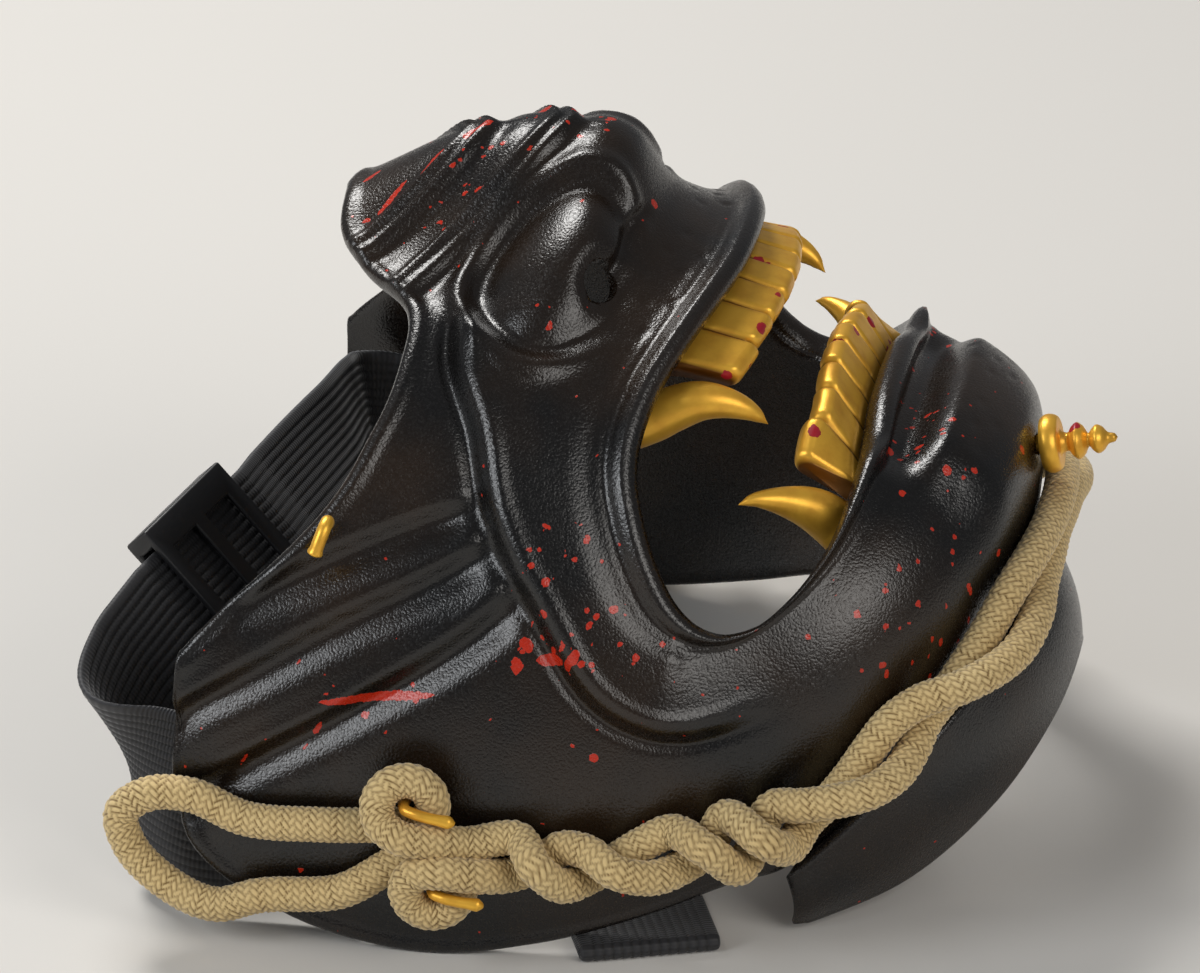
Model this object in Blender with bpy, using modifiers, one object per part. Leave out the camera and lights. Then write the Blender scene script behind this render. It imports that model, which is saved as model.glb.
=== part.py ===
"""A samurai face guard (menpo): a fierce half mask for nose, cheeks, mouth and jaw, lying on its back.

Its pieces are the lacquered shell, two rows of gold teeth, four fangs, the turned peg under the chin,
the bent cord hooks, a throat plate, the doubled tan cord that is tied round the jaw and the webbing
straps that hold the mask on. The shell, teeth, fangs, peg, hooks, plate and cord are drawn as they are
worn: x to the wearer's right, y forward, z up, from the middle of the mouth. One empty then lays them
on their back, chin towards +X and nose up, and the straps are drawn round them where they lie.
"""

import math

import bmesh
import bpy
import numpy as np
from mathutils import Matrix, Vector

MM = 0.001

# Driving dimensions of the shell
FACE_WIDTH = 148 * MM
FACE_DEPTH = 100 * MM
FACE_HEIGHT = 136 * MM
WALL = 3.0 * MM
NOSE_REACH = 18 * MM
NOSE_HALF_WIDTH = 16 * MM
WING_RADIUS = 11 * MM
WING_REACH = 6.5 * MM
NOSTRIL_RADIUS = 3.6 * MM
LIP_ROLL = 2.6 * MM
LIP_WIDTH = 6 * MM
FOLD_HEIGHT = 3.6 * MM
FOLD_WIDTH = 20 * MM
FOLD_EDGE = 3.2 * MM
FLUTE_DEPTH = 2.0 * MM
FLUTE_WIDTH = 6.0 * MM
CHIN_STEP = 4.0 * MM

# Driving dimensions of what the shell carries
TOOTH_LENGTH = 9 * MM
TOOTH_ROOT = 4.5 * MM
TOOTH_ROOT_LEAN = 1.2 * MM
TOOTH_THICKNESS = 4.4 * MM
TOOTH_GROOVE = 0.9 * MM
FANG_RADIUS = 4.0 * MM
LOWER_FANG_RADIUS = 4.2 * MM
PEG_RADIUS = 5 * MM
PEG_LENGTH = 13 * MM
PEG_SHANK_RADIUS = 1.6 * MM
HOOK_WIRE_RADIUS = 0.95 * MM
JAW_HOOK_REACH = 9 * MM
CHEEK_HOOK_REACH = 6 * MM
PLATE_THICKNESS = 2.4 * MM

# Driving dimensions of the cord and the straps
CORD_DIAMETER = 6 * MM
HEAD_STRAP_WIDTH = 36 * MM
HEAD_STRAP_THICKNESS = 1.8 * MM
BUCKLE_LENGTH = 24 * MM
BUCKLE_THICKNESS = 6.0 * MM
BUCKLE_RIM = 3.2 * MM
NECK_STRAP_WIDTH = 24 * MM
NECK_STRAP_THICKNESS = 1.3 * MM
NECK_STRAP_LENGTH = 105 * MM
NECK_STRAP_FOLD = 32 * MM

# A named clearance between pieces that touch
SEAT_GAP = 0.3 * MM

# Mesh density of the solids
SPOKES = 96
OUTER_ROWS = 20
INNER_ROWS = 7
TURNED_STEPS = 16


def table(columns, rows):
    """A short table as one array for each named column."""
    return {name: np.array([row[i] for row in rows], float) for i, name in enumerate(columns.split())}


# The ribs of the form, from the eyes down to the throat. Each runs from the middle of the face to the
# ear. y is a share of FACE_DEPTH, z of FACE_HEIGHT and half_width of half of FACE_WIDTH.
RIBS = table(
    "front_y front_z rear_y rear_z half_width fullness",
    [
        (0.84, 0.566, 0.330, 0.522, 0.970, 0.05),
        (0.96, 0.368, 0.040, 0.456, 0.990, 0.05),
        (1.03, 0.184, -0.050, 0.309, 1.000, 0.04),
        (1.07, 0.000, -0.045, 0.132, 1.000, 0.04),
        (0.94, -0.175, 0.020, 0.000, 0.970, 0.07),
        (0.905, -0.320, 0.100, -0.110, 0.910, 0.06),
        (0.84, -0.405, 0.160, -0.184, 0.850, 0.02),
        (0.66, -0.441, 0.200, -0.243, 0.780, 0.00),
        (0.48, -0.455, 0.240, -0.280, 0.710, 0.00),
    ],
)

# The spokes of the shell, from the nose round the corner of the mouth to the throat. Each runs from the
# mouth's edge to the shell's outline. around is the share of the way from the middle of the face to the
# ear, and down counts the ribs.
SPOKE_TABLE = table(
    "turn mouth_around mouth_down edge_around edge_down",
    [
        (0.00, 0.000, 2.96, 0.000, 0.20),
        (0.06, 0.090, 2.95, 0.100, 0.27),
        (0.13, 0.180, 2.90, 0.190, 0.55),
        (0.20, 0.270, 2.83, 0.270, 0.90),
        (0.27, 0.360, 2.78, 0.360, 1.02),
        (0.34, 0.440, 2.84, 0.470, 1.05),
        (0.40, 0.495, 3.02, 0.600, 0.93),
        (0.44, 0.535, 3.25, 0.750, 0.55),
        (0.47, 0.560, 3.48, 0.900, 0.20),
        (0.50, 0.570, 3.68, 0.990, 0.05),
        (0.53, 0.570, 3.85, 1.000, 0.55),
        (0.57, 0.560, 4.03, 1.000, 1.40),
        (0.61, 0.535, 4.20, 1.000, 2.50),
        (0.66, 0.485, 4.30, 0.995, 3.80),
        (0.71, 0.420, 4.33, 0.990, 5.00),
        (0.77, 0.340, 4.28, 0.970, 6.40),
        (0.82, 0.260, 4.22, 0.940, 7.70),
        (0.86, 0.200, 4.20, 0.720, 8.00),
        (0.93, 0.100, 4.12, 0.360, 8.00),
        (1.00, 0.000, 4.10, 0.000, 8.00),
    ],
)

# The nose along its middle line: up is a share of FACE_HEIGHT, reach of NOSE_REACH and half_width of
# NOSE_HALF_WIDTH.
NOSE = table(
    "up reach half_width",
    [
        (0.000, 0.00, 1.30),
        (0.070, 0.02, 1.40),
        (0.125, 0.25, 1.45),
        (0.190, 0.85, 1.30),
        (0.290, 1.00, 1.05),
        (0.400, 0.84, 0.90),
        (0.500, 0.45, 0.85),
        (0.640, 0.05, 0.80),
    ],
)
# The wing of the nose and its nostril: x is a share of NOSE_HALF_WIDTH and z of FACE_HEIGHT.
WING_AT = (1.55, 0.222)
NOSTRIL_AT = (1.68, 0.165)
NOSTRIL_AIM = (0.3, 0.75, -0.6)

# The raised fold of the cheek, from beside the nose down round the corner of the mouth.
FOLD = table(
    "around down",
    [(0.24, 1.30), (0.35, 1.45), (0.44, 1.80), (0.53, 2.15), (0.61, 2.65), (0.68, 3.30), (0.68, 4.05), (0.62, 4.75)],
)
# The grooves that fan from the fold to the ear.
FLUTES = [
    table("around down", [(0.52, 2.10), (0.57, 1.65), (0.66, 1.05), (0.78, 0.50), (0.92, 0.10)]),
    table("around down", [(0.555, 2.30), (0.62, 1.95), (0.72, 1.35), (0.86, 0.75), (1.00, 0.35)]),
    table("around down", [(0.59, 2.60), (0.67, 2.35), (0.77, 1.85), (0.89, 1.25), (1.02, 0.85)]),
]


def smooth(xs, ys, x):
    """A smooth curve through the points of a table, read at x."""
    slopes = np.gradient(ys, xs)
    x = np.clip(np.asarray(x, float), xs[0], xs[-1])
    i = np.clip(np.searchsorted(xs, x, side="right") - 1, 0, len(xs) - 2)
    span = xs[i + 1] - xs[i]
    t = (x - xs[i]) / span
    rise = (1 + 2 * t) * (1 - t) ** 2 * ys[i] + t * t * (3 - 2 * t) * ys[i + 1]
    return rise + span * (t * (1 - t) ** 2 * slopes[i] + t * t * (t - 1) * slopes[i + 1])


def step(low, high, x):
    """0 below low, 1 above high and smooth between."""
    t = np.clip((x - low) / (high - low), 0, 1)
    return t * t * (3 - 2 * t)


def rib_form(around, down):
    """The plain rounded form of the face, without nose or carving."""
    rows = np.arange(len(RIBS["front_y"]), dtype=float)
    front_y, front_z, rear_y, rear_z, half_width, fullness = (
        smooth(rows, RIBS[name], down) for name in RIBS
    )
    angle = around * math.pi / 2
    bulge = 1 + fullness * np.sin(2 * angle) ** 2
    forward = np.cos(angle) * bulge
    x = half_width * FACE_WIDTH / 2 * np.sin(angle) * bulge
    y = (rear_y + (front_y - rear_y) * forward) * FACE_DEPTH
    z = (rear_z + (front_z - rear_z) * forward) * FACE_HEIGHT
    return np.stack([x, y, z], -1)


def nose_and_chin(point):
    """How far the nose, its wings and the chin stand forward of the plain form."""
    x, z = np.abs(point[..., 0]), point[..., 2]
    up = z / FACE_HEIGHT
    reach = smooth(NOSE["up"], NOSE["reach"], up) * NOSE_REACH
    width = smooth(NOSE["up"], NOSE["half_width"], up) * NOSE_HALF_WIDTH
    forward = reach * np.exp(-((x / width) ** 2.4))
    off = np.hypot(x - WING_AT[0] * NOSE_HALF_WIDTH, z - WING_AT[1] * FACE_HEIGHT)
    wing = WING_REACH * np.clip(1 - (off / WING_RADIUS) ** 2, 0, 1)
    chin_x = step(0.44 * FACE_WIDTH / 2, 0.28 * FACE_WIDTH / 2, x)
    chin = CHIN_STEP * chin_x * step(-0.25, -0.30, up) * step(-0.46, -0.38, up)
    groove = 0.8 * CHIN_STEP * chin_x * np.exp(-(((up + 0.235) / 0.035) ** 2))
    moved = np.zeros(point.shape)
    moved[..., 1] = forward + 0.85 * wing + chin - groove
    moved[..., 0] = 0.5 * wing * np.sign(point[..., 0])
    return moved


def form(around, down):
    point = rib_form(around, down)
    return point + nose_and_chin(point)


def outward(around, down):
    """The form's unit normal, pointing out of the face."""
    d = 1e-3
    down = np.clip(down, 10 * d, len(RIBS["front_y"]) - 1 - 10 * d)
    across = form(around + d, down) - form(around - d, down)
    along = form(around, down + 10 * d) - form(around, down - 10 * d)
    normal = np.cross(across, along)
    return normal / np.linalg.norm(normal, axis=-1, keepdims=True)


def off_form(around, down, height):
    """A point that stands off the form by a height, or lies behind it by a negative one."""
    return form(around, down) + outward(around, down) * height


def line_on_form(columns, count=60):
    """Points of a carved line on the form, from its table of around and down."""
    stations = np.linspace(0, 1, len(columns["around"]))
    t = np.linspace(0, 1, count)
    return form(smooth(stations, columns["around"], t), smooth(stations, columns["down"], t))


def side_distance(point, normal, line):
    """For each point: its distance from a line, signed by side, and how far along the line it is."""
    start, run = line[:-1], line[1:] - line[:-1]
    best = np.full(len(point), np.inf)
    side = np.zeros(len(point))
    along = np.zeros(len(point))
    for i in range(len(run)):
        away = point - start[i]
        t = np.clip(away @ run[i] / (run[i] @ run[i]), 0, 1)
        off = away - t[:, None] * run[i]
        distance = np.linalg.norm(off, axis=1)
        near = distance < best
        turned = np.einsum("ij,ij->i", np.cross(run[i], normal), off)
        best = np.where(near, distance, best)
        side = np.where(near, np.sign(turned), side)
        along = np.where(near, (i + t) / len(run), along)
    return best * side, along


def carving(around, down, from_mouth):
    """How far the lip, fold and flutes stand out of the form. from_mouth is in metres."""
    side = np.abs(around)
    point, normal = form(side, down), outward(side, down)
    raised = LIP_ROLL * np.exp(-((from_mouth / LIP_WIDTH) ** 4))
    off, along = side_distance(point, normal, line_on_form(FOLD))
    ends = step(0.0, 0.12, along) * step(1.0, 0.80, along)
    plateau = np.where(off < 0, np.exp(-((off / FOLD_WIDTH) ** 2)), step(FOLD_EDGE, 0, off))
    raised = raised + FOLD_HEIGHT * ends * plateau * step(0, 2 * LIP_WIDTH, from_mouth)
    for flute in FLUTES:
        off, along = side_distance(point, normal, line_on_form(flute))
        raised = raised - FLUTE_DEPTH * step(0, 0.2, along) * np.exp(-((off / FLUTE_WIDTH * 2) ** 2))
    return raised


def spoke(turn, share):
    """Where on the form a spoke is: turn is -1 to 1 round the mouth, share 0 at its edge, 1 at the outline."""
    at = np.abs(turn)
    mouth_around, mouth_down, edge_around, edge_down = (
        smooth(SPOKE_TABLE["turn"], SPOKE_TABLE[name], at) for name in list(SPOKE_TABLE)[1:]
    )
    around = mouth_around + (edge_around - mouth_around) * share
    down = mouth_down + (edge_down - mouth_down) * share
    return np.where(turn < 0, -around, around), down


def shell_rings(spokes, outer_rows, inner_rows):
    """The shell's cross-sections, one closed loop of points for each spoke."""
    turns = np.linspace(-1, 1, spokes, endpoint=False)
    shares = np.linspace(0, 1, outer_rows) ** 1.15
    turn_grid, share_grid = np.meshgrid(turns, shares, indexing="ij")
    around, down = spoke(turn_grid, share_grid)
    point = form(around, down)
    normal = outward(around, down)
    steps = np.linalg.norm(np.diff(point, axis=1), axis=2)
    from_mouth = np.concatenate([np.zeros((spokes, 1)), np.cumsum(steps, axis=1)], axis=1)
    flat = carving(around.ravel(), down.ravel(), from_mouth.ravel())
    outer = point + normal * flat.reshape(around.shape)[..., None]
    shares = np.linspace(1, 0, inner_rows)
    turn_grid, share_grid = np.meshgrid(turns, shares, indexing="ij")
    around, down = spoke(turn_grid, share_grid)
    inner = off_form(around, down, -WALL)
    return np.concatenate([outer, inner], axis=1)


def mesh_object(name, points, faces, material):
    mesh = bpy.data.meshes.new(name)
    mesh.from_pydata([tuple(p) for p in points], [], faces)
    mesh.validate()
    mesh.shade_smooth()
    obj = bpy.data.objects.new(name, mesh)
    obj.data.materials.append(material)
    return obj


def looped_grid(name, rings, material):
    """A skin over rings of points that closes on itself both ways."""
    count, around = rings.shape[:2]
    faces = []
    for i in range(count):
        j = (i + 1) % count
        for k in range(around):
            m = (k + 1) % around
            faces.append((i * around + k, i * around + m, j * around + m, j * around + k))
    return mesh_object(name, rings.reshape(-1, 3), faces, material)


def capped_loft(name, rings, material):
    """A closed skin over rings of points, with a flat cap on the first and the last ring."""
    count, around = rings.shape[:2]
    faces = []
    for i in range(count - 1):
        for k in range(around):
            m = (k + 1) % around
            faces.append((i * around + k, i * around + m, (i + 1) * around + m, (i + 1) * around + k))
    faces.append(tuple(reversed(range(around))))
    faces.append(tuple((count - 1) * around + k for k in range(around)))
    obj = mesh_object(name, rings.reshape(-1, 3), faces, material)
    build = bmesh.new()
    build.from_mesh(obj.data)
    bmesh.ops.recalc_face_normals(build, faces=build.faces)
    build.to_mesh(obj.data)
    build.free()
    obj.data.set_sharp_from_angle(angle=math.radians(40))
    return obj


def wire(name, points, radius, material, radii=None, closed=False):
    """A round wire, fang or cord along points. radii are shares of the radius."""
    curve = bpy.data.curves.new(name, "CURVE")
    curve.dimensions = "3D"
    curve.bevel_depth = radius
    curve.bevel_resolution = 2
    curve.use_fill_caps = not closed
    spline = curve.splines.new("POLY")
    spline.points.add(len(points) - 1)
    spline.use_cyclic_u = closed
    for i, point in enumerate(points):
        spline.points[i].co = (*point, 1)
        spline.points[i].radius = 1 if radii is None else radii[i]
    obj = bpy.data.objects.new(name, curve)
    obj.data.materials.append(material)
    return obj


def through(points, count):
    """count points along a smooth curve through the given ones."""
    points = np.asarray(points, float)
    lengths = np.linalg.norm(np.diff(points, axis=0), axis=1)
    stations = np.concatenate([[0], np.cumsum(lengths)]) / lengths.sum()
    t = np.linspace(0, 1, count)
    return np.stack([smooth(stations, points[:, axis], t) for axis in range(3)], -1)


# A tooth row: the share of the way to the ear where it ends, and the size of each tooth from the middle
# outwards, as a share of TOOTH_LENGTH.
TEETH_END = 0.285
TEETH_PER_SIDE = 4
TOOTH_SHAPE = [1.0, 0.97, 1.0, 1.08]
TOOTH_STATIONS = [(0.0, 0.0), (0.12, 1.0), (0.88, 1.0)]


def mouth_edge(around, upper):
    """The down value of the mouth's edge, upper or lower, at a share of the way to the ear."""
    turns = np.linspace(0, 0.5, 200) if upper else np.linspace(1, 0.5, 200)
    edge_around, edge_down = spoke(turns, np.zeros(200))
    return np.interp(np.abs(around), edge_around, edge_down)


def tooth_section(around, upper, length, groove):
    """One cross-section of a tooth row, behind the lip, from its root to its biting edge."""
    edge = mouth_edge(around, upper)
    into = 1 if upper else -1
    here, normal = form(around, edge), outward(around, edge)
    down_run = form(around, edge + 0.05) - form(around, edge - 0.05)
    down_unit = down_run / np.linalg.norm(down_run)
    per_down = np.linalg.norm(down_run) / 0.1
    root = edge - into * TOOTH_ROOT / per_down
    neck = (edge + root) / 2
    seat = WALL + SEAT_GAP
    bite = here + into * down_unit * length
    return np.array([
        off_form(around, root, -seat - TOOTH_ROOT_LEAN),
        off_form(around, neck, -seat - TOOTH_ROOT_LEAN / 2),
        here - normal * (seat + groove * 0.3),
        bite - into * down_unit * 0.15 * length - normal * (seat - 0.22 * TOOTH_THICKNESS + groove),
        bite - normal * (seat + 0.15 * TOOTH_THICKNESS + groove),
        bite - into * down_unit * 0.05 * length - normal * (seat + 0.75 * TOOTH_THICKNESS),
        here - normal * (seat + TOOTH_THICKNESS),
        off_form(around, root, -seat - TOOTH_THICKNESS - TOOTH_ROOT_LEAN),
    ])


def tooth_row(name, upper, material):
    sections = []
    for i in range(-TEETH_PER_SIDE, TEETH_PER_SIDE):
        rank = i if i >= 0 else -i - 1
        length = TOOTH_LENGTH * TOOTH_SHAPE[rank]
        for share, full in TOOTH_STATIONS:
            around = TEETH_END * (i + share) / TEETH_PER_SIDE
            reach = length - (1 - full) * 1.2 * TOOTH_GROOVE
            sections.append(tooth_section(around, upper, reach, (1 - full) * TOOTH_GROOVE))
    last = TOOTH_LENGTH * TOOTH_SHAPE[-1] - 1.2 * TOOTH_GROOVE
    sections.append(tooth_section(TEETH_END, upper, last, TOOTH_GROOVE))
    rings = np.array(sections)
    return capped_loft(name, rings if upper else rings[:, ::-1], material)


# The fangs: around and down on the form, depth behind it as a share of FANG_RADIUS, and thickness as a
# share of it. Each starts square on the shell's inner wall and comes out past the lip.
UPPER_FANG = table(
    "around down depth thickness",
    [
        (0.392, 2.42, 0.85, 1.00),
        (0.392, 2.42, 1.60, 1.00),
        (0.380, 2.58, 2.25, 1.00),
        (0.360, 2.74, 2.20, 1.00),
        (0.340, 2.90, 1.70, 0.97),
        (0.324, 3.08, 1.10, 0.86),
        (0.311, 3.26, 0.75, 0.68),
        (0.301, 3.42, 0.60, 0.44),
        (0.294, 3.56, 0.70, 0.08),
    ],
)
LOWER_FANG = table(
    "around down depth thickness",
    [
        (0.348, 4.68, 1.02, 1.00),
        (0.348, 4.68, 1.80, 1.00),
        (0.347, 4.49, 2.25, 1.00),
        (0.336, 4.28, 2.00, 1.00),
        (0.344, 4.11, 1.50, 0.92),
        (0.360, 3.95, 1.20, 0.76),
        (0.379, 3.81, 1.05, 0.56),
        (0.397, 3.70, 1.05, 0.34),
        (0.414, 3.63, 1.15, 0.08),
    ],
)


def fang(name, columns, radius, side, material):
    depth = -columns["depth"] * radius - SEAT_GAP
    points = [
        off_form(side * around, down, height)
        for around, down, height in zip(columns["around"], columns["down"], depth)
    ]
    count = 13
    t = np.linspace(0, 1, count)
    thickness = smooth(np.linspace(0, 1, len(points)), columns["thickness"], t)
    return wire(name, through(points, count), radius, material, radii=thickness)


# The chin peg, from its tip to its shank: radius is a share of PEG_RADIUS and height of PEG_LENGTH.
PEG_AT = 6.02
PEG_PROFILE = table(
    "radius height",
    [
        (0.00, 1.00),
        (0.13, 0.97),
        (0.20, 0.88),
        (0.44, 0.79),
        (0.50, 0.73),
        (0.40, 0.67),
        (0.24, 0.62),
        (0.52, 0.54),
        (0.64, 0.47),
        (0.52, 0.40),
        (0.32, 0.34),
        (0.40, 0.26),
        (0.92, 0.22),
        (1.00, 0.16),
        (1.00, 0.06),
        (0.90, 0.00),
    ],
)


def turned(name, radii, heights, material):
    """A turned solid round its own Z, from a profile that runs from its top down its outer side."""
    mesh = bpy.data.meshes.new(name)
    points = [(radius, 0, height) for radius, height in zip(radii, heights)]
    mesh.from_pydata(points, [(i, i + 1) for i in range(len(points) - 1)], [])
    obj = bpy.data.objects.new(name, mesh)
    obj.data.materials.append(material)
    screw = obj.modifiers.new("turn", "SCREW")
    screw.steps = TURNED_STEPS
    screw.render_steps = TURNED_STEPS
    screw.use_merge_vertices = True
    screw.merge_threshold = 1e-5
    screw.use_smooth_shade = True
    return obj


def square_to(direction):
    """The rotation that turns +Z to a direction."""
    return Vector(direction).to_track_quat("Z", "Y").to_matrix().to_4x4()


def chin_peg(material):
    radii = list(PEG_PROFILE["radius"] * PEG_RADIUS)
    heights = list(PEG_PROFILE["height"] * PEG_LENGTH)
    radii += [PEG_SHANK_RADIUS, PEG_SHANK_RADIUS, 0]
    heights += [0, -WALL, -WALL]
    obj = turned("chin_peg", radii, heights, material)
    seat = off_form(0.0, PEG_AT, 3 * SEAT_GAP)
    obj.matrix_world = Matrix.Translation(seat) @ square_to(outward(0.0, PEG_AT))
    return obj


def hole_cutter(name, centre, direction, radius, depth):
    mesh = bpy.data.meshes.new(name)
    build = bmesh.new()
    bmesh.ops.create_cone(
        build, cap_ends=True, segments=20, radius1=radius, radius2=radius, depth=depth
    )
    build.to_mesh(mesh)
    build.free()
    obj = bpy.data.objects.new(name, mesh)
    obj.matrix_world = Matrix.Translation(centre) @ square_to(direction)
    obj.hide_render = True
    obj.display_type = "WIRE"
    return obj


def cut(obj, cutter):
    boolean = obj.modifiers.new(cutter.name, "BOOLEAN")
    boolean.operation = "DIFFERENCE"
    boolean.solver = "EXACT"
    boolean.object = cutter


# Where the hooks stand: around and down on the form.
JAW_HOOKS = {"upper": (0.830, 2.45), "lower": (0.905, 2.87)}
CHEEK_HOOK = (0.590, 1.05)

# Cord sizes that follow from its diameter
STRAND_OFF = CORD_DIAMETER / 2 + 1.4 * SEAT_GAP
STRAND_PITCH = CORD_DIAMETER + 1.4 * SEAT_GAP
LOOP_RADIUS = 0.75 * CORD_DIAMETER


def surface_frame(around, down):
    """A place on the form with its outward unit, the unit that runs down the face and the unit across."""
    run = form(around, down + 0.02) - form(around, down - 0.02)
    run = run / np.linalg.norm(run)
    normal = outward(around, down)
    return form(around, down), normal, run, np.cross(normal, run)


def jaw_hook(name, at, side, material):
    """A bent pin: out of the shell through the cord's loop, then over the cord towards the chin."""
    here, normal, run, _ = surface_frame(at[0] * side, at[1])
    carved = carving(np.array([at[0]]), np.array([at[1]]), np.array([FACE_WIDTH]))[0]
    top = STRAND_OFF + 0.25 * STRAND_PITCH + CORD_DIAMETER / 2 + SEAT_GAP + HOOK_WIRE_RADIUS
    points = [
        here + normal * (carved + 1.8 * SEAT_GAP),
        here + normal * (top - 1.6 * HOOK_WIRE_RADIUS),
        here + normal * (top - 0.5 * HOOK_WIRE_RADIUS) + run * 0.5 * HOOK_WIRE_RADIUS,
        here + normal * top + run * 1.6 * HOOK_WIRE_RADIUS,
        here + normal * top + run * JAW_HOOK_REACH,
    ]
    return wire(name, points, HOOK_WIRE_RADIUS, material)


def cheek_hook(name, side, material):
    """A bent pin on the edge of the cheek under the eye, that holds the end of the head strap."""
    here, normal, run, across = surface_frame(CHEEK_HOOK[0] * side, CHEEK_HOOK[1])
    back = across * -side
    points = [
        here + normal * 1.5 * SEAT_GAP,
        here + normal * 2.2 * HOOK_WIRE_RADIUS,
        here + normal * 3.0 * HOOK_WIRE_RADIUS + back * 0.8 * HOOK_WIRE_RADIUS,
        here + normal * 3.2 * HOOK_WIRE_RADIUS + back * 0.6 * CHEEK_HOOK_REACH,
        here + normal * 2.4 * HOOK_WIRE_RADIUS + back * CHEEK_HOOK_REACH,
    ]
    return wire(name, points, 1.2 * HOOK_WIRE_RADIUS, material)


# The cord's route on the right side, chosen by hand. The bend lies behind the ear: around and down on
# the form, height off it as a share of STRAND_OFF, then shifts forward and up as shares of CORD_DIAMETER.
CORD_BEND = table(
    "around down height forward up",
    [
        (0.885, 1.95, 1.00, 0.00, 0.00),
        (0.915, 1.45, 1.00, 0.00, 0.00),
        (0.945, 1.00, 1.00, 0.10, 0.20),
        (0.975, 0.90, 1.00, 0.15, 0.90),
        (1.000, 0.88, 0.90, -0.25, 1.40),
        (1.000, 0.95, 0.80, -0.90, 1.10),
        (1.000, 1.10, 0.85, -1.15, 0.30),
        (0.995, 1.42, 0.95, -0.80, -0.30),
        (0.975, 1.80, 1.00, -0.20, 0.00),
        (0.945, 2.28, 1.00, 0.00, 0.00),
    ],
)
# The doubled cord from the hooks to the chin: around and down of its middle, how many times the two
# strands have turned round each other, and how wide they stand as a share of STRAND_PITCH.
CORD_PAIR = table(
    "around down turned wide",
    [
        (0.862, 3.35, 0.00, 1.00),
        (0.858, 3.75, 0.40, 1.00),
        (0.846, 4.20, 0.75, 1.00),
        (0.835, 4.70, 1.00, 1.05),
        (0.820, 5.25, 1.50, 1.40),
        (0.795, 5.80, 2.00, 1.05),
        (0.725, 6.15, 2.20, 1.00),
        (0.630, 6.32, 2.40, 1.00),
        (0.520, 6.43, 2.60, 1.00),
        (0.400, 6.52, 2.75, 1.00),
        (0.200, 6.62, 2.95, 1.00),
        (0.000, 6.62, 3.00, 1.00),
    ],
)


def pair_strand(sign, count):
    """The points of one strand of the doubled cord, from the hooks to the chin."""
    stations = np.linspace(0, 1, len(CORD_PAIR["around"]))
    t = np.linspace(0, 1, count)
    around, down, turned_by, wide = (smooth(stations, CORD_PAIR[name], t) for name in CORD_PAIR)
    points = []
    for i in range(count):
        here, normal, _, _ = surface_frame(around[i], down[i])
        ahead = min(i + 1, count - 1)
        behind = max(i - 1, 0)
        run = form(around[ahead], down[ahead]) - form(around[behind], down[behind])
        across = np.cross(normal, run / np.linalg.norm(run))
        half = wide[i] * STRAND_PITCH / 2
        angle = turned_by[i] * 2 * math.pi
        height = STRAND_OFF + half * abs(math.sin(angle)) + sign * half * math.sin(angle)
        points.append(here + across * sign * half * math.cos(angle) + normal * height)
    return points


def hook_turn(at, sign, steps):
    """One turn of a strand round a hook, rising as it closes over itself, and the run down from it."""
    here, normal, run, across = surface_frame(*at)
    points = []
    for i in range(steps + 1):
        angle = 2 * math.pi * i / steps
        height = STRAND_OFF + STRAND_PITCH * i / steps
        around_pin = run * math.sin(angle) - across * sign * math.cos(angle)
        points.append(here + around_pin * LOOP_RADIUS + normal * height)
    for forward, share in ((1.0, 0.75), (1.9, 0.25))[: 2 if sign > 0 else 1]:
        height = STRAND_OFF + STRAND_PITCH * share
        side = -across * sign * LOOP_RADIUS
        points.append(here + side + run * forward * CORD_DIAMETER + normal * height)
    return points


def bend_points():
    rows = zip(*(CORD_BEND[name] for name in CORD_BEND))
    return [
        off_form(around, down, height * STRAND_OFF)
        + np.array([0, forward * CORD_DIAMETER, up * CORD_DIAMETER])
        for around, down, height, forward, up in rows
    ]


def cord_points(loop_steps=8, pair_count=24):
    """The whole closed cord: up one strand, round the bend behind the ear, back down the other."""
    upper = hook_turn(JAW_HOOKS["upper"], 1, loop_steps) + pair_strand(1, pair_count)
    lower = hook_turn(JAW_HOOKS["lower"], -1, loop_steps) + pair_strand(-1, pair_count)
    right = upper[::-1] + bend_points() + lower
    left = [point * np.array([-1, 1, 1]) for point in right[::-1]]
    return right + left[1:-1]


# The throat plate's lower edge, from its middle to its corner: x as a share of half of FACE_WIDTH, y of
# FACE_DEPTH and z of FACE_HEIGHT.
PLATE_TOP = 7.15
PLATE_TOP_END = 0.95
PLATE_EDGE = table(
    "x y z",
    [
        (0.00, 0.500, -0.530),
        (0.20, 0.450, -0.522),
        (0.38, 0.335, -0.485),
        (0.56, 0.215, -0.410),
        (0.74, 0.130, -0.297),
    ],
)


def throat_plate(material):
    columns, rows = 25, 5
    stations = np.linspace(-1, 1, 2 * len(PLATE_EDGE["x"]) - 1)
    edge = {name: np.concatenate([PLATE_EDGE[name][:0:-1], PLATE_EDGE[name]]) for name in PLATE_EDGE}
    edge["x"] = edge["x"] * np.sign(stations)
    verts = []
    for t in np.linspace(-1, 1, columns):
        top = off_form(PLATE_TOP_END * t, PLATE_TOP, 2 * SEAT_GAP)
        x, y, z = (smooth(stations, edge[name], t) for name in edge)
        low = np.array([x * FACE_WIDTH / 2, y * FACE_DEPTH, z * FACE_HEIGHT])
        away = outward(PLATE_TOP_END * t, PLATE_TOP)
        for share in np.linspace(0, 1, rows):
            belly = math.sin(math.pi * share) * PLATE_THICKNESS * 0.6
            verts.append(top + (low - top) * share + away * belly)
    faces = []
    for i in range(columns - 1):
        for k in range(rows - 1):
            a = i * rows + k
            faces.append((a, a + rows, a + rows + 1, a + 1))
    obj = mesh_object("throat_plate", verts, faces, material)
    skin = obj.modifiers.new("thickness", "SOLIDIFY")
    skin.thickness = PLATE_THICKNESS
    skin.offset = 1
    return obj


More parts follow.
